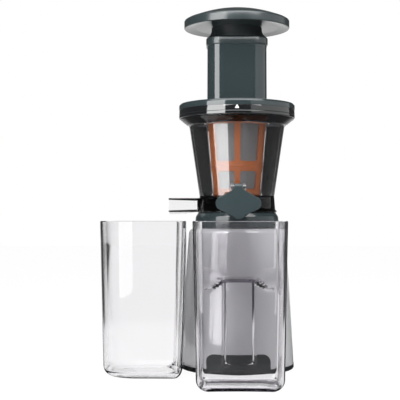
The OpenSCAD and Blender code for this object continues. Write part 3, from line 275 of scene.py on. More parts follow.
def laminated_iron(name, colour):
    """A stack of half-millimetre iron sheets with varnish between them."""
    finish = new_finish(name)
    height = finish.axes()[2]
    sheet = 0.5 * MM
    layer = 0.5 + 0.5 * finish.sine(height * (2 * math.pi / sheet))
    rust = finish.grain(5, 4)
    finish.surface(
        finish.principled(
            Base_Color=finish.blend(
                0.55 * layer + 0.45 * rust, shade(colour, 0.55), shade(colour, 1.15)
            ),
            Metallic=0.8,
            Roughness=0.42 + 0.14 * rust,
            Normal=finish.bump(layer, 0.03),
        )
    )


def wound_copper(name, colour):
    """Coils of enamelled wire under a few laps of varnish."""
    finish = new_finish(name)
    strand = finish.node(
        "ShaderNodeTexWave",
        {"bands_direction": "Z"},
        {
            "Vector": finish.place(),
            "Scale": 420.0,
            "Distortion": 2.2,
            "Detail": 2.0,
            "Detail Scale": 0.6,
        },
        1,
    )
    tone = finish.grain(3, 3)
    finish.surface(
        finish.principled(
            Base_Color=finish.blend(
                0.6 * strand + 0.4 * tone, shade(colour, 0.45), shade(colour, 1.15)
            ),
            Metallic=0.7,
            Roughness=0.28 + 0.15 * tone,
            Normal=finish.bump(strand, 0.12),
        )
    )


def printed_board(name, colour):
    """A circuit board: green mask over copper runs, with small pads."""
    finish = new_finish(name)
    runs = finish.node(
        "ShaderNodeTexBrick",
        {"offset": 0.37},
        {
            "Vector": finish.place(),
            "Scale": 210.0,
            "Mortar Size": 0.09,
            "Color1": WHITE,
            "Color2": WHITE,
            "Mortar": (0, 0, 0, 1),
        },
    )
    spots = finish.node(
        "ShaderNodeTexVoronoi",
        {"feature": "F1"},
        {"Vector": finish.place(), "Scale": 330.0, "Randomness": 0.25},
    )
    pad = spots < 0.16
    solder = (0.62, 0.60, 0.52, 1)
    green = finish.blend(runs, shade(colour, 1.9), shade(colour, 0.8))
    finish.surface(
        finish.principled(
            Base_Color=finish.blend(pad, green, solder),
            Metallic=0.9 * pad,
            Roughness=0.34 - 0.1 * pad,
            Normal=finish.bump(pad + 0.4 * (1 - runs), 0.05),
        )
    )


def etched_steel(name, colour, pitch):
    """Thin sheet steel with rows of small etched holes."""
    finish = new_finish(name)
    east, north, height = finish.axes()
    turn = finish.node(
        "ShaderNodeMath", {"operation": "ARCTAN2"}, {0: north, 1: east}
    )
    holes_round = 210
    across = finish.sine(turn * holes_round)
    upward = finish.sine(height * (2 * math.pi / pitch))
    hole = (across * upward) > 0.25
    stain = finish.grain(12, 3)
    finish.surface(
        finish.principled(
            Base_Color=finish.blend(
                0.8 * hole + 0.2 * stain, shade(colour, 1.12), shade(colour, 0.42)
            ),
            Metallic=0.35 - 0.2 * hole,
            Roughness=0.55 + 0.1 * hole + 0.08 * (stain - 0.5),
            Normal=finish.bump(1 - hole, 0.08),
        )
    )


def soft_rubber(name, colour, roughness):
    """Rubber or silicone: dull, with a fine grain and some dust."""
    finish = new_finish(name)
    grain = finish.grain(0.5, 3)
    dust = finish.grain(14, 4)
    finish.surface(
        finish.principled(
            Base_Color=finish.blend(dust, shade(colour, 0.85), shade(colour, 1.3)),
            Roughness=roughness + 0.12 * (dust - 0.5),
            Sheen_Weight=0.15,
            Normal=finish.bump(grain, 0.03),
        )
    )


def clear_plastic(name, tint, density, coat=0.0, shine=1.0):
    """Clear plastic that darkens with the length of the light's way through it."""
    finish = new_finish(name)
    flow = finish.grain(35, 2)
    skin = finish.grain(6, 3)
    finish.surface(
        finish.principled(
            Base_Color=WHITE,
            Roughness=0.02 + 0.02 * flow,
            IOR=1.49,
            Specular_Tint=(shine, shine, shine, 1.0),
            Coat_Weight=coat,
            Coat_Roughness=0.02,
            Coat_IOR=1.6,
            Transmission_Weight=1.0,
            Normal=finish.bump(0.7 * flow + 0.3 * skin, 0.006),
        ),
        finish.node(
            "ShaderNodeVolumeAbsorption",
            inputs={"Color": shade(tint, 1), "Density": density},
        ),
    )


def make_finishes(colours, sizes):
    """Makes every finish of the juicer."""
    slate, smoke, jug = tuple(colours.slate), tuple(colours.smoke), tuple(colours.jug)
    silver_paint("silver_shell", tuple(colours.silver))
    moulded("dark_plastic", slate, 0.1, 0.0015, coat=1.0, coat_ior=1.72)
    moulded("satin_plastic", slate, 0.3, 0.0015, coat=1.0, coat_ior=1.72, coat_blur=0.2)
    moulded("collar_plastic", slate, 0.16, 0.0015, coat=0.5, coat_ior=1.7)
    moulded("stop_plastic", shade(slate, 1.3), 0.22, 0.002, coat=0.6, coat_ior=1.6)
    moulded("rim_plastic", (0.006, 0.007, 0.008), 0.1, 0.001, coat=1.0, coat_ior=2.15)
    # Slate darkened to a third: painted shade for the recessed apron behind the jug, the base plate and
    # the pusher's neck under its disc.
    moulded("slate_painted_shade", shade(slate, 0.35), 0.6, 0.004)
    moulded("orange_plastic", tuple(colours.orange), 0.3, 0.004)
    moulded("scroll_plastic", (0.022, 0.024, 0.027), 0.2, 0.003)
    moulded("wiper_plastic", (0.014, 0.016, 0.018), 0.3, 0.003)
    moulded("gearbox_plastic", (0.035, 0.035, 0.038), 0.5, 0.012)
    moulded("gear_nylon", (0.70, 0.66, 0.54), 0.42, 0.006, mottling=0.05)
    moulded("white_print", (0.75, 0.76, 0.77), 0.5, 0.004)
    clear_plastic("smoky_clear", smoke, 70.0, coat=1.0)
    # Smoke plastic made near-opaque: painted shade for walls seen edge-on and for the bowl's foot down
    # in the collar.
    clear_plastic("smoke_painted_shade", smoke, 1100.0)
    clear_plastic("spout_clear", smoke, 14.0)
    clear_plastic("jug_clear", jug, 80.0)
    clear_plastic("pulp_clear", jug, 42.0, shine=0.5)
    soft_rubber("rubber", (0.022, 0.022, 0.023), 0.72)
    soft_rubber("silicone", (0.33, 0.33, 0.34), 0.5)
    turned_metal("steel", (0.62, 0.62, 0.64), 0.26, pitch=0.25, depth=0.004)
    turned_metal("alloy", (0.52, 0.52, 0.54), 0.44, pitch=1.6, depth=0.02)
    etched_steel("steel_mesh", (0.40, 0.385, 0.39), sizes.hole_pitch)
    laminated_iron("motor_iron", (0.30, 0.30, 0.32))
    wound_copper("copper", (0.62, 0.26, 0.10))
    printed_board("board", (0.015, 0.14, 0.05))


# ---------------------------------------------------------------- shapes


def rounded(corners, steps, closed=True):
    """A line through corners (x, y) or (x, y, radius) with those corners rounded."""
    line = []
    count = len(corners)
    for i, corner in enumerate(corners):
        here = Vector(corner[:2])
        radius = corner[2] if len(corner) > 2 else 0
        if not radius or (not closed and i in (0, count - 1)):
            line.append(tuple(here))
            continue
        back = Vector(corners[i - 1][:2]) - here
        ahead = Vector(corners[(i + 1) % count][:2]) - here
        half = back.angle(ahead) / 2
        reach = min(radius / math.tan(half), 0.49 * back.length, 0.49 * ahead.length)
        radius = reach * math.tan(half)
        middle = here + (back.normalized() + ahead.normalized()).normalized() * (
            radius / math.sin(half)
        )
        start = here + back.normalized() * reach - middle
        end = here + ahead.normalized() * reach - middle
        first = math.atan2(start.y, start.x)
        sweep = math.atan2(end.y, end.x) - first
        sweep -= 2 * math.pi * round(sweep / (2 * math.pi))
        for k in range(steps + 1):
            angle = first + sweep * k / steps
            line.append(
                (middle.x + radius * math.cos(angle), middle.y + radius * math.sin(angle))
            )
    return line


def arc(x, y, radius, start, end, count):
    """Points on a circle round x, y from one angle to another, in degrees."""
    line = []
    for k in range(count + 1):
        angle = math.radians(start + (end - start) * k / count)
        line.append((x + radius * math.cos(angle), y + radius * math.sin(angle)))
    return line


def between(start, end, count):
    """The points that part the way from start to end into count runs, without its ends."""
    here, there = Vector(start), Vector(end)
    return [tuple(here.lerp(there, k / count)) for k in range(1, count)]


def round_box(half_width, half_depth, radius, side, bend):
    """A rectangle about the tower's axis with round corners, as a ring of points.

    An edge is parted into side runs and a corner into bend runs.
    """
    x, y = half_width - radius, half_depth - radius
    corners = [
        arc(cx, cy, radius, start, start + 90, bend)
        for cx, cy, start in ((x, -y, -90), (x, y, 0), (-x, y, 90), (-x, -y, 180))
    ]
    ring = []
    for corner, following in zip(corners, corners[1:] + corners[:1]):
        ring += corner + between(corner[-1], following[0], side)
    return ring


def lathe(line, steps=ROUND, closed=True):
    """Points and faces of a line of (radius, height) turned about the tower."""
    points, faces, columns = [], [], []
    for radius, height in line:
        if radius < 1e-6:
            columns.append([len(points)] * steps)
            points.append((0, 0, height))
            continue
        columns.append(list(range(len(points), len(points) + steps)))
        for k in range(steps):
            angle = 2 * math.pi * k / steps
            points.append((radius * math.cos(angle), radius * math.sin(angle), height))
    for i in range(len(line) if closed else len(line) - 1):
        low, high = columns[i], columns[(i + 1) % len(line)]
        for k in range(steps):
            n = (k + 1) % steps
            face = [low[k], low[n], high[n], high[k]]
            face = [v for j, v in enumerate(face) if v not in face[:j]]
            if len(face) > 2:
                faces.append(tuple(face))
    return points, faces


def loft(rings, loop=False):
    """Points and faces of a skin over rings of (x, y, z), with flat ends unless it loops."""
    count = len(rings[0])
    points = [point for ring in rings for point in ring]
    faces = []
    for i in range(len(rings) if loop else len(rings) - 1):
        low, high = i * count, (i + 1) % len(rings) * count
        for k in range(count):
            n = (k + 1) % count
            faces.append((low + k, low + n, high + n, high + k))
    if not loop:
        faces.append(tuple(reversed(range(count))))
        faces.append(tuple(range((len(rings) - 1) * count, len(rings) * count)))
    return points, faces


def at_height(ring, z):
    """The points of a flat ring, all at one height."""
    return [(x, y, z) for x, y in ring]


def arc_block(inner, outer, middle, half, low, high):
    """A block between two circles and two heights, half degrees to each side of middle."""
    line = arc(0, 0, outer, middle - half, middle + half, 8)
    line += arc(0, 0, inner, middle + half, middle - half, 8)
    return loft([at_height(line, low), at_height(line, high)])


def along(outline, axis, start, end):
    """An outline drawn out along x or y from start to end."""
    if axis == "x":
        rings = [[(x, a, b) for a, b in outline] for x in (start, end)]
    else:
        rings = [[(a, y, b) for a, b in outline] for y in (start, end)]
    return loft(rings)


def moved(shape, matrix):
    """The shape with every point moved by the matrix, in millimetres."""
    points, faces = shape
    return [tuple(matrix @ Vector(point)) for point in points], faces


def merged(*shapes):
    """Several shapes as one."""
    points, faces = [], []
    for more_points, more_faces in shapes:
        base = len(points)
        points += list(more_points)
        faces += [tuple(v + base for v in face) for face in more_faces]
    return points, faces


# ---------------------------------------------------------------- pieces


def placed(name, data):
    """A new object of the scene that shows the mesh, the lamp or the camera."""
    made = bpy.data.objects.new(name, data)
    bpy.context.scene.collection.objects.link(made)
    return made


def skin_of(name, shape):
    """A mesh from points in millimetres and faces."""
    points, faces = shape
    mesh = bpy.data.meshes.new(name)
    mesh.from_pydata([Vector(point) * MM for point in points], [], faces)
    return mesh


def turn_outwards(mesh):
    """Makes every face of a closed skin look outwards."""
    skin = bmesh.new()
    skin.from_mesh(mesh)
    bmesh.ops.remove_doubles(skin, verts=skin.verts, dist=1e-7)
    bmesh.ops.recalc_face_normals(skin, faces=skin.faces)
    skin.to_mesh(mesh)
    skin.free()


def make(name, shape, slot, body, nodes, sharp=32, bevel=0.0):
    """A piece of the juicer from a shape, with all that dress gives it."""
    dress(placed(name, skin_of(name, shape)), slot, body, nodes, sharp, bevel)


def dress(piece, slot, body, nodes, sharp=32, bevel=0.0):
    """Gives a piece its shading, its finish and its body, and hides the CAD parts it stands for.

    Edges that turn by more than sharp degrees stay hard, and a bevel in millimetres
    breaks them.
    """
    mesh = piece.data
    mesh.validate()
    turn_outwards(mesh)
    mesh.shade_smooth()
    mesh.set_sharp_from_angle(angle=math.radians(sharp))
    mesh.materials.clear()
    mesh.materials.append(FINISHES[slot])
    if bevel:
        edge = piece.modifiers.new("edge", "BEVEL")
        edge.width = bevel * MM
        edge.segments = 3
        edge.limit_method = "ANGLE"
        edge.angle_limit = math.radians(sharp)
        edge.harden_normals = True
    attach(piece, body)
    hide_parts(*nodes)


def solid(name, shape):
    """A bare object, to be cut or to cut with."""
    made = placed(name, skin_of(name, shape))
    turn_outwards(made.data)
    return made


def carve(piece, tool):
    """Cuts the tool out of the piece and removes the tool."""
    step = piece.modifiers.new("carve", "BOOLEAN")
    step.operation = "DIFFERENCE"
    step.solver = "EXACT"
    step.object = tool
    bpy.context.view_layer.update()
    graph = bpy.context.evaluated_depsgraph_get()
    carved = bpy.data.meshes.new_from_object(piece.evaluated_get(graph))
    piece.modifiers.clear()
    if not carved.polygons:
        raise RuntimeError(f"carving {piece.name} left nothing")
    piece.data = carved
    bpy.data.objects.remove(tool)


def cad_copy(name, node):
    """A new piece with the CAD part's own form."""
    piece = placed(name, frame["nodes"][node].data.copy())
    turn_outwards(piece.data)
    return piece


def copy_between(name, node, low, high):
    """The CAD part's own form between two heights, cut off level."""
    piece = cad_copy(name, node)
    reach, ceiling = 110, 340
    for bottom, top in ((0, low), (high, ceiling)):
        room = lathe([(0, bottom), (reach, bottom), (reach, top), (0, top)], 32, closed=False)
        carve(piece, solid("room", room))
    return piece


# ---------------------------------------------------------------- juicing set


def build_pusher(crown):
    """A wide disc on a flared neck, over a hollow stem that slides in the tube."""
    edge, edge_height, rings = 54.0, 429.6, 14
    disc = rounded(
        [
            (0, 415.9), (29.0, 415.9, 3), (33.0, 416.9, 4), (52.0, 417.6, 12),
            (62.2, 415.4, 1.2), (64.5, 415.4, 2.0), (64.5, 425.0, 2.2),
            (60.5, 427.2, 4), (edge, edge_height, 8),
        ],
        5,
        closed=False,
    )[:-1]
    for k in range(rings, -1, -1):
        disc.append((edge * k / rings, edge_height + crown * (1 - (k / rings) ** 2)))
    make("pusher_disc", lathe(disc, closed=False), "satin_plastic", "pusher", ["pusher"])

    radius, low, height, rows = 30.8, 402.9, 13.4, 16
    flare = []
    for k in range(rows + 1):
        share = (1 - k / rows) ** 2.4
        ring = []
        for x, y in round_box(36.3, 29.3, 18.3, 18, 10):
            turn = math.atan2(y, x)
            neck = Vector((radius * math.cos(turn), radius * math.sin(turn)))
            ring.append(tuple(neck.lerp(Vector((x, y)), share)))
        flare.append(at_height(ring, low + height * k / rows))
    # The neck gets the darkened slate, painted shade under the disc.
    make("pusher_neck", loft(flare), "slate_painted_shade", "pusher", ["pusher"], sharp=40)

    levels = [
        (320.4, 0.6), (321.0, 0.15), (322.0, 0), (404.0, 0), (404.0, 2.5), (324.0, 2.5),
    ]
    stem = [
        at_height(round_box(32.9 - inset, 25.9 - inset, 14.9 - inset, 18, 10), z)
        for z, inset in levels
    ]
    make("pusher_stem", loft(stem), "dark_plastic", "pusher", ["pusher", "pusher_base"])
    web = [(-23.2, 325), (23.2, 325), (23.2, 402), (-23.2, 402)]
    ribs = [along(web, "x", x - 0.8, x + 0.8) for x in (-14, 14)]
    make("pusher_ribs", merged(*ribs), "dark_plastic", "pusher", ["pusher"], sharp=32, bevel=0.3)


def build_lid():
    """The lid's plate with its skirt, plug and lugs, and the wide feed tube."""
    plate = rounded(
        [
            (20.0, 317.5), (33.2, 317.5), (33.2, 308.4), (38.9, 308.4), (38.9, 303.9, 0.8),
            (41.4, 303.9, 0.8), (41.4, 317.5), (62.5, 317.5), (62.5, 306.8, 1),
            (66.0, 306.8, 1), (66.0, 317.6), (70.72, 317.6), (70.72, 315.2),
            (71.0, 315.2, 0.1), (71.0, 320.4, 1.2), (69.4, 322.4, 1.2), (66.8, 322.95, 1.5),
            (40.0, 323.0), (20.0, 323.0),
        ],
        4,
    )
    lid = solid("lid_plate", lathe(plate))
    hole = round_box(33.4, 26.4, 15.4, 12, 8)
    carve(lid, solid("hole", loft([at_height(hole, z) for z in (300, 330)])))
    dress(lid, "dark_plastic", "lid", ["lid"], sharp=30)
    lugs = [arc_block(65.3, 67.8, middle, 12, 307.1, 309.7) for middle in (0, 120, 240)]
    make("lid_lugs", merged(*lugs), "dark_plastic", "lid", ["lid"], sharp=30, bevel=0.4)

    lip = 393.0
    levels = [
        (322.6, 3.2), (323.3, 2.0), (324.2, 1.1), (325.6, 0.5), (327.2, 0.25), (345.0, 0.15),
        (370.0, 0.05), (392.2, 0), (lip, 0.15), (lip, -2.6), (322.0, -2.6),
    ]
    lip_levels = [
        (lip + SEAM, 0.15), (393.3, 0.8), (393.8, 1.25), (394.6, 1.45), (400.8, 1.5),
        (401.8, 1.2), (402.4, 0.4), (402.4, -0.8), (401.9, -2.0), (401.2, -2.6),
        (lip + SEAM, -2.6),
    ]
    for name, line, finish in [
        ("feed_tube", levels, "dark_plastic"),
        ("tube_lip", lip_levels, "satin_plastic"),
    ]:
        rings = [
            at_height(round_box(36 + grow, 29 + grow, 18 + grow, 20, 12), z)
            for z, grow in line
        ]
        make(name, loft(rings, loop=True), finish, "lid", ["lid"], sharp=34)


def bowl_r(z):
    """The bowl's outer radius at height z, from its waist to the bend of its shoulder."""
    return 45.8 + 12.5 * (z - 210.0) / 85.0


def build_bowl():
    """The smoky bowl: foot and floor, clear wall, flared shoulder and dark rim band."""
    foot_top, waist_top, wall = 210.5, 214.0, 2.6
    foot = copy_between("bowl_foot", "bowl", 150.0, foot_top)
    # The foot gets the near-opaque smoke, painted shade down in the collar.
    dress(foot, "smoke_painted_shade", "juicing_bowl", ["bowl"], sharp=24)
    waist = copy_between("bowl_waist", "bowl", foot_top + SEAM, waist_top)
    dress(waist, "smoky_clear", "juicing_bowl", ["bowl"], sharp=24)

    heights = (waist_top + SEAM, 240, 268)
    outer = [(bowl_r(z), z) for z in heights]
    inner = [(bowl_r(z) - wall, z) for z in heights]
    bend = [(58.3, 295.0, 3.5), (60.4, 296.6), (57.3, 298.2), (55.7, 296.0, 3.0)]
    line = rounded([inner[0], *outer, *bend, inner[2], inner[1]], 6)
    make("bowl_wall", lathe(line), "smoky_clear", "juicing_bowl", ["bowl"], sharp=24)
    shoulder = rounded(
        [
            (60.45, 296.62), (69.6, 303.9, 1.0), (69.8, 305.2), (67.4, 305.2),
            (66.6, 304.6, 1.2), (57.35, 298.2),
        ],
        4,
    )
    # The shoulder gets the near-opaque smoke, painted shade where it is seen edge-on.
    make("bowl_shoulder", lathe(shoulder), "smoke_painted_shade", "juicing_bowl", ["bowl"], sharp=24)

    band = rounded(
        [
            (66.4, 305.3), (69.9, 305.3), (69.9, 304.4, 0.4), (71.0, 305.2, 0.8),
            (71.0, 308.2, 0.3), (70.7, 308.6, 0.3), (70.95, 309.0, 0.3), (70.65, 317.3, 0.5),
            (68.2, 317.3, 0.5), (68.2, 306.4, 0.5), (66.4, 306.0),
        ],
        3,
    )
    make("bowl_rim", lathe(band), "rim_plastic", "juicing_bowl", ["bowl"])
    ramps = [arc_block(66.4, 68.3, middle, 10, 310.6, 313.0) for middle in (24, 144, 264)]
    make("rim_ramps", merged(*ramps), "rim_plastic", "juicing_bowl", ["bowl"], sharp=30, bevel=0.4)

    mark = rounded([(-3.9, 310.7, 0.5), (1.5, 310.7, 0.5), (-1.2, 315.5, 0.5)], 3)
    arrow = along(mark, "y", -71.25, -70.6)
    make("lock_mark", arrow, "white_print", "juicing_bowl", ["bowl"])


def build_spouts():
    """The pulp spout with its drip lip, and the juice neck with the hinge's ears."""
    end, bottom, top = -83.0, 190.8, 207.8

    def root(y):
        """Where the bowl's round foot lies at that y."""
        return -math.sqrt(49.6**2 - y * y)

    edge = rounded([(-12, bottom, 1.6), (-10.4, bottom), (-10.4, top), (-12, top, 1.6)], 5)
    sides = []
    for side in (-1, 1):
        ring = [(side * y, z) for y, z in edge]
        sides.append(loft([[(root(y), y, z) for y, z in ring], [(end, y, z) for y, z in ring]]))
    make("pulp_spout_sides", merged(*sides), "spout_clear", "juicing_bowl", ["pulp_spout"], sharp=26)
    plates = []
    rim = [(root(y), y) for y in (-10.38, -5, 0, 5, 10.38)] + [(end, 10.38), (end, -10.38)]
    for level, at_root, at_end in ((bottom, 194.0, 192.9), (top, 204.6, 205.7)):
        slope = [(x, y, at_root if x > -60 else at_end) for x, y in rim]
        rings = [at_height(rim, level), slope]
        plates.append(loft(rings if level < at_end else rings[::-1]))
    # The spout's plates get the near-opaque smoke, painted shade where they are seen edge-on.
    make("pulp_spout_plates", merged(*plates), "smoke_painted_shade", "juicing_bowl", ["pulp_spout"], sharp=26)
    lip = rounded(
        [
            (-82.8, 190.9), (-81.6, 188.4, 0.9), (-70.0, 188.5, 3), (-66.6, 189.5, 1),
            (-63.4, 188.7, 1.5), (-58.0, 189.7, 2), (-53.0, 189.9, 0.6), (-52.0, 190.9),
        ],
        4,
    )
    lip = loft([[(x, y, z) for x, z in lip] for y in (-9.5, 9.5)])
    make("pulp_spout_lip", lip, "spout_clear", "juicing_bowl", ["pulp_spout"], sharp=26)

    neck = cad_copy("juice_neck_tube", "juice_neck")
    dress(neck, "smoky_clear", "juicing_bowl", ["juice_neck"], sharp=24)


def strainer_r(z):
    """The strainer frame's outer radius at height z."""
    return 28.2 + 8.3 * (z - 207.5) / 94.5


def build_strainer():
    """The orange frame with two rows of windows and a hoop under each row."""
    steps = 120
    heights = (209, 216, 246, 276, 298)
    outer = [(strainer_r(z), z) for z in heights[:-1]]
    inner = [(strainer_r(z) - 2.0, z) for z in reversed(heights)]
    foot = [(26.2, 207.5, 0.6), (28.2, 207.5, 0.8)]
    collar = [
        (strainer_r(301.0), 301.0, 0.5), (38.6, 302.0, 0.5), (38.6, 308.0, 0.8),
        (34.2, 308.0, 0.8), (34.2, 301.0),
    ]
    shell = solid("strainer_shell", lathe(rounded(foot + outer + collar + inner, 3), steps))
    for centre, half in ((27, 21), (90, 13), (153, 21), (207, 21), (270, 13), (333, 21)):
        turn = Matrix.Rotation(math.radians(centre - 90), 4, "Z")
        for low, top in ((218.6, 240.0), (252.0, 300.0)):
            half_low = strainer_r(low) * math.sin(math.radians(half))
            half_top = strainer_r(top) * math.sin(math.radians(half))
            pane = rounded(
                [
                    (-half_low, low, 3), (half_low, low, 3), (half_top, top, 3),
                    (-half_top, top, 3),
                ],
                5,
            )
            carve(shell, solid("pane", moved(along(pane, "x", 20, 50), turn)))
    dress(shell, "orange_plastic", "juicing_bowl", ["strainer_frame"], sharp=34, bevel=0.45)
    hoops = []
    for z in (213.2, 246.0):
        root, crest = strainer_r(z) - 0.6, strainer_r(z) + 0.5
        line = [(root, z - 1.1), (crest, z - 0.9, 0.5), (crest, z + 0.9, 0.5), (root, z + 1.1)]
        hoops.append(lathe(rounded(line, 3), steps))
    make("strainer_hoops", merged(*hoops), "orange_plastic", "juicing_bowl", ["strainer_frame"])


def build_drip_stop():
    """The flap before the juice spout: round lobes, a knuckle and a finger lip."""
    outline = []
    for x, z, radius, start, end in [
        (0, 191.0, 8.6, -150, -30),
        (18.2, 200.0, 7.9, -62, 78),
        (0, 213.2, 7.0, 20, 160),
        (-18.2, 200.0, 7.9, 102, 242),
    ]:
        outline += arc(x, z, radius, start, end, 10)
    plate = solid("drip_plate", along(outline, "y", -86.4, -80.7))
    seat = rounded([(0, -80.0), (13.4, -80.0), (13.4, -82.2, 0.4), (0, -82.2)], 2, closed=False)
    lying = Matrix(((1, 0, 0, 0), (0, 0, 1, 0), (0, 1, 0, 200.0), (0, 0, 0, 1)))
    carve(plate, solid("seat", moved(lathe(seat, 64, closed=False), lying)))
    dress(plate, "stop_plastic", "drip_stop", ["drip_stop"], sharp=30, bevel=1.6)
    arm = rounded(
        [
            (-82.0, 214.4, 0.6), (-82.0, 221.6, 2.4), (-78.6, 223.2, 3.0), (-73.4, 223.2, 3.4),
            (-71.9, 219.5, 3.0), (-73.4, 215.9, 3.2), (-78.0, 215.6, 1.0),
        ],
        6,
    )
    knuckle = solid("drip_knuckle", along(arm, "x", -5, 5))
    pin = arc(-75.5, 219.5, 1.75, 0, 360, 24)[:-1]
    carve(knuckle, solid("pin", along(pin, "x", -9, 9)))
    dress(knuckle, "stop_plastic", "drip_stop", ["drip_stop"], sharp=34, bevel=0.5)


# ---------------------------------------------------------------- power unit


def build_collar():
    """The dark collar that the bowl stands on, with a shadow gap at its foot."""
    top = [(8.0, 173.0), (41.0, 173.0), (41.0, 179.0), (8.0, 179.0)]
    plate = solid("collar_plate", lathe(top, 96))
    dress(plate, "dark_plastic", "power_unit", ["collar"], sharp=26)
    line = rounded(
        [
            (40.0, 171.4), (50.6, 171.1), (50.6, 171.9), (51.5, 172.2, 0.4), (51.1, 178.0),
            (50.4, 185.4, 3.6), (47.4, 190.2, 1.8), (46.4, 190.5), (44.6, 190.5, 0.3),
            (44.6, 186.0), (47.4, 184.2, 1), (48.2, 173.4), (40.0, 173.4),
        ],
        6,
    )
    make("collar_ring", lathe(line), "collar_plastic", "power_unit", ["collar"], sharp=30)


# ---------------------------------------------------------------- jugs


def soft_step(value, start, end):
    """0 up to start, 1 from end on and a soft way between them."""
    share = min(1.0, max(0.0, (value - start) / (end - start)))
    return share * share * (3 - 2 * share)


def jug_ring(z, grow, tuck=0.0, lift=0.0):
    """The juice jug's plan at height z: its faces dip in, its back has a groove.

    grow moves the skin outwards and tuck draws the foot in. The inside is drawn with
    its step and its groove lifted clear of the outside's.
    """
    rear_face, step_run, step_height = -108, 33, 112.1
    lean = 3.8 * (1 - z / JUG_TOP)
    half = 50.75 - lean + grow - tuck
    front = -177 - grow + 0.5 * tuck
    radius = 12 + grow - 0.4 * tuck
    flat = half - radius
    groove_half, groove_low, groove_high = 15.6 + 0.8 * lift, 20.7 - lift, 112 + lift
    groove_bend, groove_depth = 5, 2.0
    stops = [-flat, -0.9 * flat, -0.8 * flat, -0.7 * flat, -0.6 * flat]
    stops += [-groove_half - 1.4, -groove_half, -groove_half + 1.2, -12, -9, -5, 0]
    stops += [-x for x in reversed(stops[:-1])]
    groove = 0
    if groove_low < z <= groove_low + groove_bend:
        rise = groove_low + groove_bend - z
        groove = groove_half - groove_bend + math.sqrt(groove_bend**2 - rise**2)
    elif groove_low < z < groove_high:
        groove = groove_half

    def dip(x):
        """How far the front face is hollowed at that x."""
        return 1.6 * max(0.0, 1 - (x / flat) ** 2) ** 1.5

    def back(x):
        """A step to the rear, sharp over the groove and soft towards the sides."""
        middle = step_height + 1.3 * lift
        blur = 0.5 + 11.5 * soft_step(abs(x), 13, 0.95 * flat)
        share = soft_step(z, middle - blur, middle + blur)
        cut = 0
        if groove:
            cut = groove_depth * min(1.0, max(0.0, (groove + 0.6 - abs(x)) / 1.2))
        return rear_face + step_run * share + grow - 0.5 * tuck - cut

    side = back(flat)
    ring = [(x, front + dip(x)) for x in stops]
    ring += arc(flat, front + radius, radius, -90, 0, 9)[1:]
    ring += arc(flat, side - radius, radius, 0, 90, 9)
    ring += [(x, back(x)) for x in reversed(stops[1:-1])]
    ring += arc(-flat, side - radius, radius, 90, 180, 9)
    ring += arc(-flat, front + radius, radius, 180, 270, 9)[:-1]
    return at_height(ring, z)


def build_juice_jug(wall):
    """The clear jug before the unit, stepped at the back, with a grip groove."""
    foot = 12
    outer = []
    for z in [1.0, 1.6, 2.6, 4.2, 6.5, 9, foot]:
        lift = (foot - z) / foot
        outer.append(jug_ring(z, 0, foot * (1 - math.sqrt(1 - lift * lift))))
    low = [20.6, 20.8, 21.4, 22.4, 24, 26, 60, 90]
    step = [98, 100, 102, 104, 106, 108, 109.5, 110.7, 111.3, 111.6, 111.8, 112, 112.2, 112.4]
    step += [112.6, 112.9, 113.5, 114.7, 116, 118, 120, 122, 124]
    outer += [jug_ring(z, 0) for z in low + step + [150, JUG_BRIM]]
    rim = [jug_ring(JUG_TOP, -0.7), jug_ring(JUG_TOP, -2.4)]

    def inside(z, grow=-wall):
        """The inside of the wall at that height."""
        return jug_ring(z, grow, 0, wall)

    inner = [inside(JUG_BRIM), inside(150)]
    inner += [inside(z + 1.3 * wall) for z in reversed(step)]
    inner += [inside(z - (wall if z < 30 else 0)) for z in reversed(low)]
    inner += [inside(foot), inside(7, -3.6), inside(5.2, -4.4), inside(4.2, -7.0)]
    make("juice_jug_glass", loft(outer + rim + inner), "jug_clear", "juice_jug", ["juice_jug"], sharp=24)
    stud = rounded([(0, 0.0), (4, 0.0, 0.6), (4, 1.4), (0, 1.4)], 3, closed=False)
    stud = lathe(stud, 32, closed=False)
    feet = [
        moved(stud, Matrix.Translation((x, y, 0))) for x in (-33.83, 33.83) for y in (-165, -120)
    ]
    make("juice_jug_feet", merged(*feet), "jug_clear", "juice_jug", ["juice_jug"], sharp=24)


def pulp_ring(inset, z):
    """The pulp jug's plan, hollowed round the power unit, inset from its outside."""
    clear = 71 + inset
    left, right = -162 + inset, -60 - inset
    front, rear = -95 + inset, 18 - inset
    far, near = 46 - inset, max(1.2, 12 - inset)
    horn = -math.sqrt(clear * clear - rear * rear)
    low = -math.sqrt(clear * clear - right * right)
    first = math.degrees(math.atan2(rear, horn)) % 360
    last = 180 + math.degrees(math.asin(-low / clear))
    ring = arc(left + far, rear - far, far, 180, 90, 14)
    ring += between((left + far, rear), (horn - 1.0, rear), 10)
    ring += arc(0, 0, clear, first, last, 30)
    ring += between((right, low), (right, front + near), 8)
    ring += arc(right - near, front + near, near, 0, -90, 8)
    ring += between((right - near, front), (left + far, front), 8)
    ring += arc(left + far, front + far, far, -90, -180, 14)
    return at_height(ring, z)


def build_pulp_jug(wall, foot):
    """The clear jug beside the unit, hollowed to stand close to it, narrower at its foot."""

    def inset(z):
        """How far the outside lies within its widest plan at that height."""
        lean = 4.6 * (1 - z / JUG_TOP)
        rise = max(0.0, 1 - z / foot)
        return lean + foot * (1 - math.sqrt(1 - rise * rise))

    floor = 1.5
    heights = [0, 0.15, 0.6, 1.4, 2.6, 4.2, 6.5, 8.8, 11, 20, 60, 120, JUG_BRIM]
    outer = [pulp_ring(inset(z), z) for z in heights]
    rim = [pulp_ring(0.7, JUG_TOP), pulp_ring(2.0, JUG_TOP)]
    inner = [pulp_ring(inset(z) + wall, z) for z in (JUG_BRIM, 120, 60, 20, 11, 7.5)]
    inner += [pulp_ring(inset(z - floor) + wall, z) for z in (5.6, 4.4, 3.4, 2.9)]
    make("pulp_jug_glass", loft(outer + rim + inner), "pulp_clear", "pulp_jug", ["pulp_jug"], sharp=24)


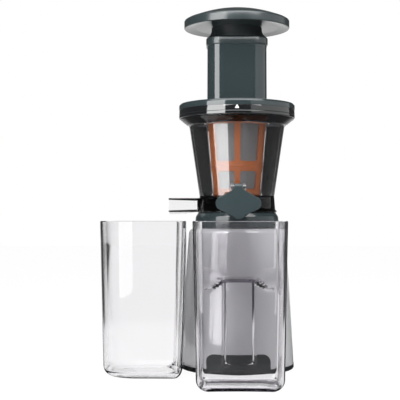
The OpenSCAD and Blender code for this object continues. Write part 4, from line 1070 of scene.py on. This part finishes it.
# ---------------------------------------------------------------- stage


def straight_rays(finish):
    """Camera rays, and the glossy and the transmission rays that come from them.

    Light on its way to a matt surface through clear plastic counts as neither.
    """
    seen, mirrored, through, scattered = finish.node(
        "ShaderNodeLightPath",
        out=("Is Camera Ray", "Is Glossy Ray", "Is Transmission Ray", "Diffuse Depth"),
    )
    direct = scattered < 0.5
    return seen, mirrored * (1 - through) * direct, through * direct


def build_world():
    """White to the camera; dim walls with light ahead and behind to gloss and glass."""
    world = bpy.data.worlds.new("studio")
    bpy.context.scene.world = world
    sky = Finish(world)
    seen, mirrored, through = straight_rays(sky)
    dim, full, soft = 0.05, 0.95, 0.35
    way = sky.node("ShaderNodeTexCoord", out="Generated")
    back = sky.node("ShaderNodeSeparateXYZ", None, {0: way}, "Y")
    behind = sky.ramp(back, 0.93, 0.996)
    ahead = sky.ramp(back, -0.90, -0.985) * through * soft
    walls = dim + full * behind + ahead
    lit, white, room = (
        sky.node("ShaderNodeBackground", None, {"Color": WHITE, "Strength": strength})
        for strength in (0.6, 1.0, walls)
    )
    mixed = sky.node("ShaderNodeMixShader", None, {0: mirrored + through, 1: lit, 2: room})
    mixed = sky.node("ShaderNodeMixShader", None, {0: seen, 1: mixed, 2: white})
    sky.node("ShaderNodeOutputWorld", None, {"Surface": mixed}, None)


def build_floor():
    """A pale floor that keeps the shadow, with a bright lane that clear plastic shows."""
    side = 6.0
    mesh = bpy.data.meshes.new("floor")
    mesh.from_pydata(
        [(-side, -side, 0), (side, -side, 0), (side, side, 0), (-side, side, 0)],
        [],
        [(0, 1, 2, 3)],
    )
    floor = placed("floor", mesh)
    paper = Finish(bpy.data.materials.new("paper"))
    seen, mirrored, through = straight_rays(paper)
    matt = paper.principled(
        Base_Color=(0.55, 0.55, 0.55, 1), Roughness=0.6 + 0.1 * paper.grain(4, 2)
    )
    east, north, _ = paper.axes()
    reach = paper.node(
        "ShaderNodeVectorMath", {"operation": "LENGTH"}, {0: paper.place()}, "Value"
    )
    # the lane widens away from the juicer, is dim before it and ends softly on all sides
    widening, lane_edge, rear_edge, near_edge = 0.16, (0.42, 0.22), (-0.26, -0.18), (0.70, 0.45)
    aside = paper.size(east) - widening * paper.size(north)
    rear = paper.ramp(north, *rear_edge)
    lane = paper.ramp(aside, *lane_edge) * (0.15 + 0.78 * rear)
    near = 0.8 * paper.ramp(reach, *near_edge) * rear
    lane = (lane + near * (1 - lane)) * through
    # gloss sees a bright strip of floor straight behind
    back = paper.ramp(north / reach, 0.8, 0.97) * mirrored * 0.66
    bright = 0.05 + 1.03 * (seen + lane + back)
    glow = paper.node("ShaderNodeEmission", None, {"Color": WHITE, "Strength": bright})
    share = 0.88 * (seen + mirrored) + 0.97 * through
    paper.surface(paper.node("ShaderNodeMixShader", None, {0: share, 1: matt, 2: glow}))
    mesh.materials.append(paper.owner)


def build_lamps():
    """Soft lamps, each by its azimuth, distance, height, slope, size and strength."""
    for name, azimuth, distance, height, slope, width, tall, strength in [
        ("left_softbox", -41, 0.75, 0.485, 0, 0.49, 0.93, 3.5),
        ("right_wall", 75, 1.7, 0.70, 0, 3.9, 0.94, 0.45),
        ("front_high", 10, 0.95, 1.2, 46, 2.0, 1.1, 2.9),
        ("ceiling", 0, 0.0, 1.7, 90, 1.4, 1.4, 1.5),
    ]:
        lamp = bpy.data.lights.new(name, "AREA")
        lamp.shape = "RECTANGLE"
        lamp.size = width
        lamp.size_y = tall
        lamp.energy = strength * math.pi * width * tall
        holder = placed(name, lamp)
        turn = math.radians(azimuth)
        holder.location = (distance * math.sin(turn), -distance * math.cos(turn), height)
        holder.rotation_euler = (math.radians(90 - slope), 0, turn)


def build_camera():
    """The camera, before the juicer and level with the jugs' rims."""
    camera = bpy.data.cameras.new("camera")
    camera.lens = 90.0
    camera.sensor_width = 36.0
    camera.clip_start = 0.05
    camera.clip_end = 50.0
    holder = placed("camera", camera)
    holder.location = (-0.0268, -1.226, 0.180)
    holder.rotation_euler = (math.radians(91.203), 0, math.radians(0.859))
    bpy.context.scene.camera = holder
    bpy.context.scene.view_settings.view_transform = "Standard"


# ---------------------------------------------------------------- add-on


class JuicerSizes(bpy.types.PropertyGroup):
    """The sizes a user would change."""

    juice_jug_wall: bpy.props.FloatProperty(
        name="Juice jug wall",
        description="Thickness of the juice jug's wall",
        default=0.003,
        min=0.002,
        max=0.0036,
        unit="LENGTH",
    )
    pulp_jug_wall: bpy.props.FloatProperty(
        name="Pulp jug wall",
        description="Thickness of the pulp jug's wall",
        default=0.0024,
        min=0.0015,
        max=0.003,
        unit="LENGTH",
    )
    pulp_jug_foot: bpy.props.FloatProperty(
        name="Pulp jug foot",
        description="Radius of the rounding round the pulp jug's foot",
        default=0.011,
        min=0.006,
        max=0.014,
        unit="LENGTH",
    )
    disc_crown: bpy.props.FloatProperty(
        name="Disc crown",
        description="Rise of the pusher's disc from its rim to its middle",
        default=0.0103,
        min=0.004,
        max=0.0103,
        unit="LENGTH",
    )
    hole_pitch: bpy.props.FloatProperty(
        name="Hole pitch",
        description="Distance between two rows of holes in the strainer's mesh",
        default=0.001,
        min=0.0006,
        max=0.002,
        unit="LENGTH",
    )


class JuicerColours(bpy.types.PropertyGroup):
    """The colours a user would change."""

    slate: bpy.props.FloatVectorProperty(
        name="Slate",
        description="Colour of the dark gloss plastic",
        default=(0.026, 0.038, 0.041),
        subtype="COLOR",
        size=3,
    )
    silver: bpy.props.FloatVectorProperty(
        name="Silver",
        description="Colour of the power unit's shell",
        default=(0.60, 0.605, 0.62),
        subtype="COLOR",
        size=3,
    )
    orange: bpy.props.FloatVectorProperty(
        name="Orange",
        description="Colour of the strainer's frame",
        default=(0.68, 0.19, 0.055),
        subtype="COLOR",
        size=3,
    )
    smoke: bpy.props.FloatVectorProperty(
        name="Smoke",
        description="Colour that the bowl's plastic lets through",
        default=(0.30, 0.31, 0.34),
        subtype="COLOR",
        size=3,
    )
    jug: bpy.props.FloatVectorProperty(
        name="Jug",
        description="Colour that the jugs' plastic lets through",
        default=(0.61, 0.575, 0.64),
        subtype="COLOR",
        size=3,
    )


class JUICER_OT_finishes(bpy.types.Operator):
    """Make the finishes and give every CAD part its own"""

    bl_idname = "juicer.finishes"
    bl_label = "Finishes"

    def execute(self, context):
        make_finishes(context.scene.juicer_colours, context.scene.juicer_sizes)
        for part in frame["record"]["subparts"]:
            shown = frame["nodes"][part["node"]]
            shown.data.materials.clear()
            # The apron and the base plate get the darkened matt slate, with painted shade in its colour.
            matt = part["node"] in ("apron", "base_plate")
            finish = "slate_painted_shade" if matt else part["material_slot"]
            shown.data.materials.append(FINISHES[finish])
        return {"FINISHED"}


class JUICER_OT_pusher(bpy.types.Operator):
    """Build the pusher: disc, neck, stem and ribs"""

    bl_idname = "juicer.pusher"
    bl_label = "Pusher"

    def execute(self, context):
        build_pusher(context.scene.juicer_sizes.disc_crown / MM)
        return {"FINISHED"}


class JUICER_OT_lid(bpy.types.Operator):
    """Build the lid with its feed tube and lugs"""

    bl_idname = "juicer.lid"
    bl_label = "Lid"

    def execute(self, context):
        build_lid()
        return {"FINISHED"}


class JUICER_OT_bowl(bpy.types.Operator):
    """Build the smoky bowl with its rim band and lock mark"""

    bl_idname = "juicer.bowl"
    bl_label = "Bowl"

    def execute(self, context):
        build_bowl()
        return {"FINISHED"}


class JUICER_OT_spouts(bpy.types.Operator):
    """Build the pulp spout and the juice neck"""

    bl_idname = "juicer.spouts"
    bl_label = "Spouts"

    def execute(self, context):
        build_spouts()
        return {"FINISHED"}


class JUICER_OT_strainer(bpy.types.Operator):
    """Build the strainer's orange frame with its hoops"""

    bl_idname = "juicer.strainer"
    bl_label = "Strainer"

    def execute(self, context):
        build_strainer()
        return {"FINISHED"}


class JUICER_OT_drip_stop(bpy.types.Operator):
    """Build the flap before the juice spout"""

    bl_idname = "juicer.drip_stop"
    bl_label = "Drip stop"

    def execute(self, context):
        build_drip_stop()
        return {"FINISHED"}


class JUICER_OT_collar(bpy.types.Operator):
    """Build the collar that the bowl stands on"""

    bl_idname = "juicer.collar"
    bl_label = "Collar"

    def execute(self, context):
        build_collar()
        return {"FINISHED"}


class JUICER_OT_juice_jug(bpy.types.Operator):
    """Build the clear jug before the power unit"""

    bl_idname = "juicer.juice_jug"
    bl_label = "Juice jug"

    def execute(self, context):
        build_juice_jug(context.scene.juicer_sizes.juice_jug_wall / MM)
        return {"FINISHED"}


class JUICER_OT_pulp_jug(bpy.types.Operator):
    """Build the clear jug beside the power unit"""

    bl_idname = "juicer.pulp_jug"
    bl_label = "Pulp jug"

    def execute(self, context):
        sizes = context.scene.juicer_sizes
        build_pulp_jug(sizes.pulp_jug_wall / MM, sizes.pulp_jug_foot / MM)
        return {"FINISHED"}


class JUICER_OT_stage(bpy.types.Operator):
    """Set the surroundings, the floor, the lamps and the camera"""

    bl_idname = "juicer.stage"
    bl_label = "Stage"

    def execute(self, context):
        build_world()
        build_floor()
        build_lamps()
        build_camera()
        return {"FINISHED"}


OPERATORS = (
    JUICER_OT_finishes,
    JUICER_OT_pusher,
    JUICER_OT_lid,
    JUICER_OT_bowl,
    JUICER_OT_spouts,
    JUICER_OT_strainer,
    JUICER_OT_drip_stop,
    JUICER_OT_collar,
    JUICER_OT_juice_jug,
    JUICER_OT_pulp_jug,
    JUICER_OT_stage,
)


class JUICER_PT_build(bpy.types.Panel):
    """Lists the steps that dress the juicer"""

    bl_label = "Juicer"
    bl_idname = "JUICER_PT_build"
    bl_space_type = "VIEW_3D"
    bl_region_type = "UI"
    bl_category = "Juicer"

    def draw(self, context):
        for name in JuicerSizes.__annotations__:
            self.layout.prop(context.scene.juicer_sizes, name)
        for name in JuicerColours.__annotations__:
            self.layout.prop(context.scene.juicer_colours, name)
        for step in OPERATORS:
            self.layout.operator(step.bl_idname)


CLASSES = (JuicerSizes, JuicerColours, *OPERATORS, JUICER_PT_build)


def register():
    """Makes the sizes, the colours, the steps and the panel known to Blender."""
    for kind in CLASSES:
        bpy.utils.register_class(kind)
    bpy.types.Scene.juicer_sizes = bpy.props.PointerProperty(type=JuicerSizes)
    bpy.types.Scene.juicer_colours = bpy.props.PointerProperty(type=JuicerColours)


def unregister():
    """Takes away what register made."""
    del bpy.types.Scene.juicer_sizes
    del bpy.types.Scene.juicer_colours
    for kind in reversed(CLASSES):
        bpy.utils.unregister_class(kind)


def main():
    """Runs every step in order."""
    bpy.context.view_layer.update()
    register()
    for step in OPERATORS:
        group, name = step.bl_idname.split(".")
        getattr(getattr(bpy.ops, group), name)()


if __name__ == "__main__":
    main()
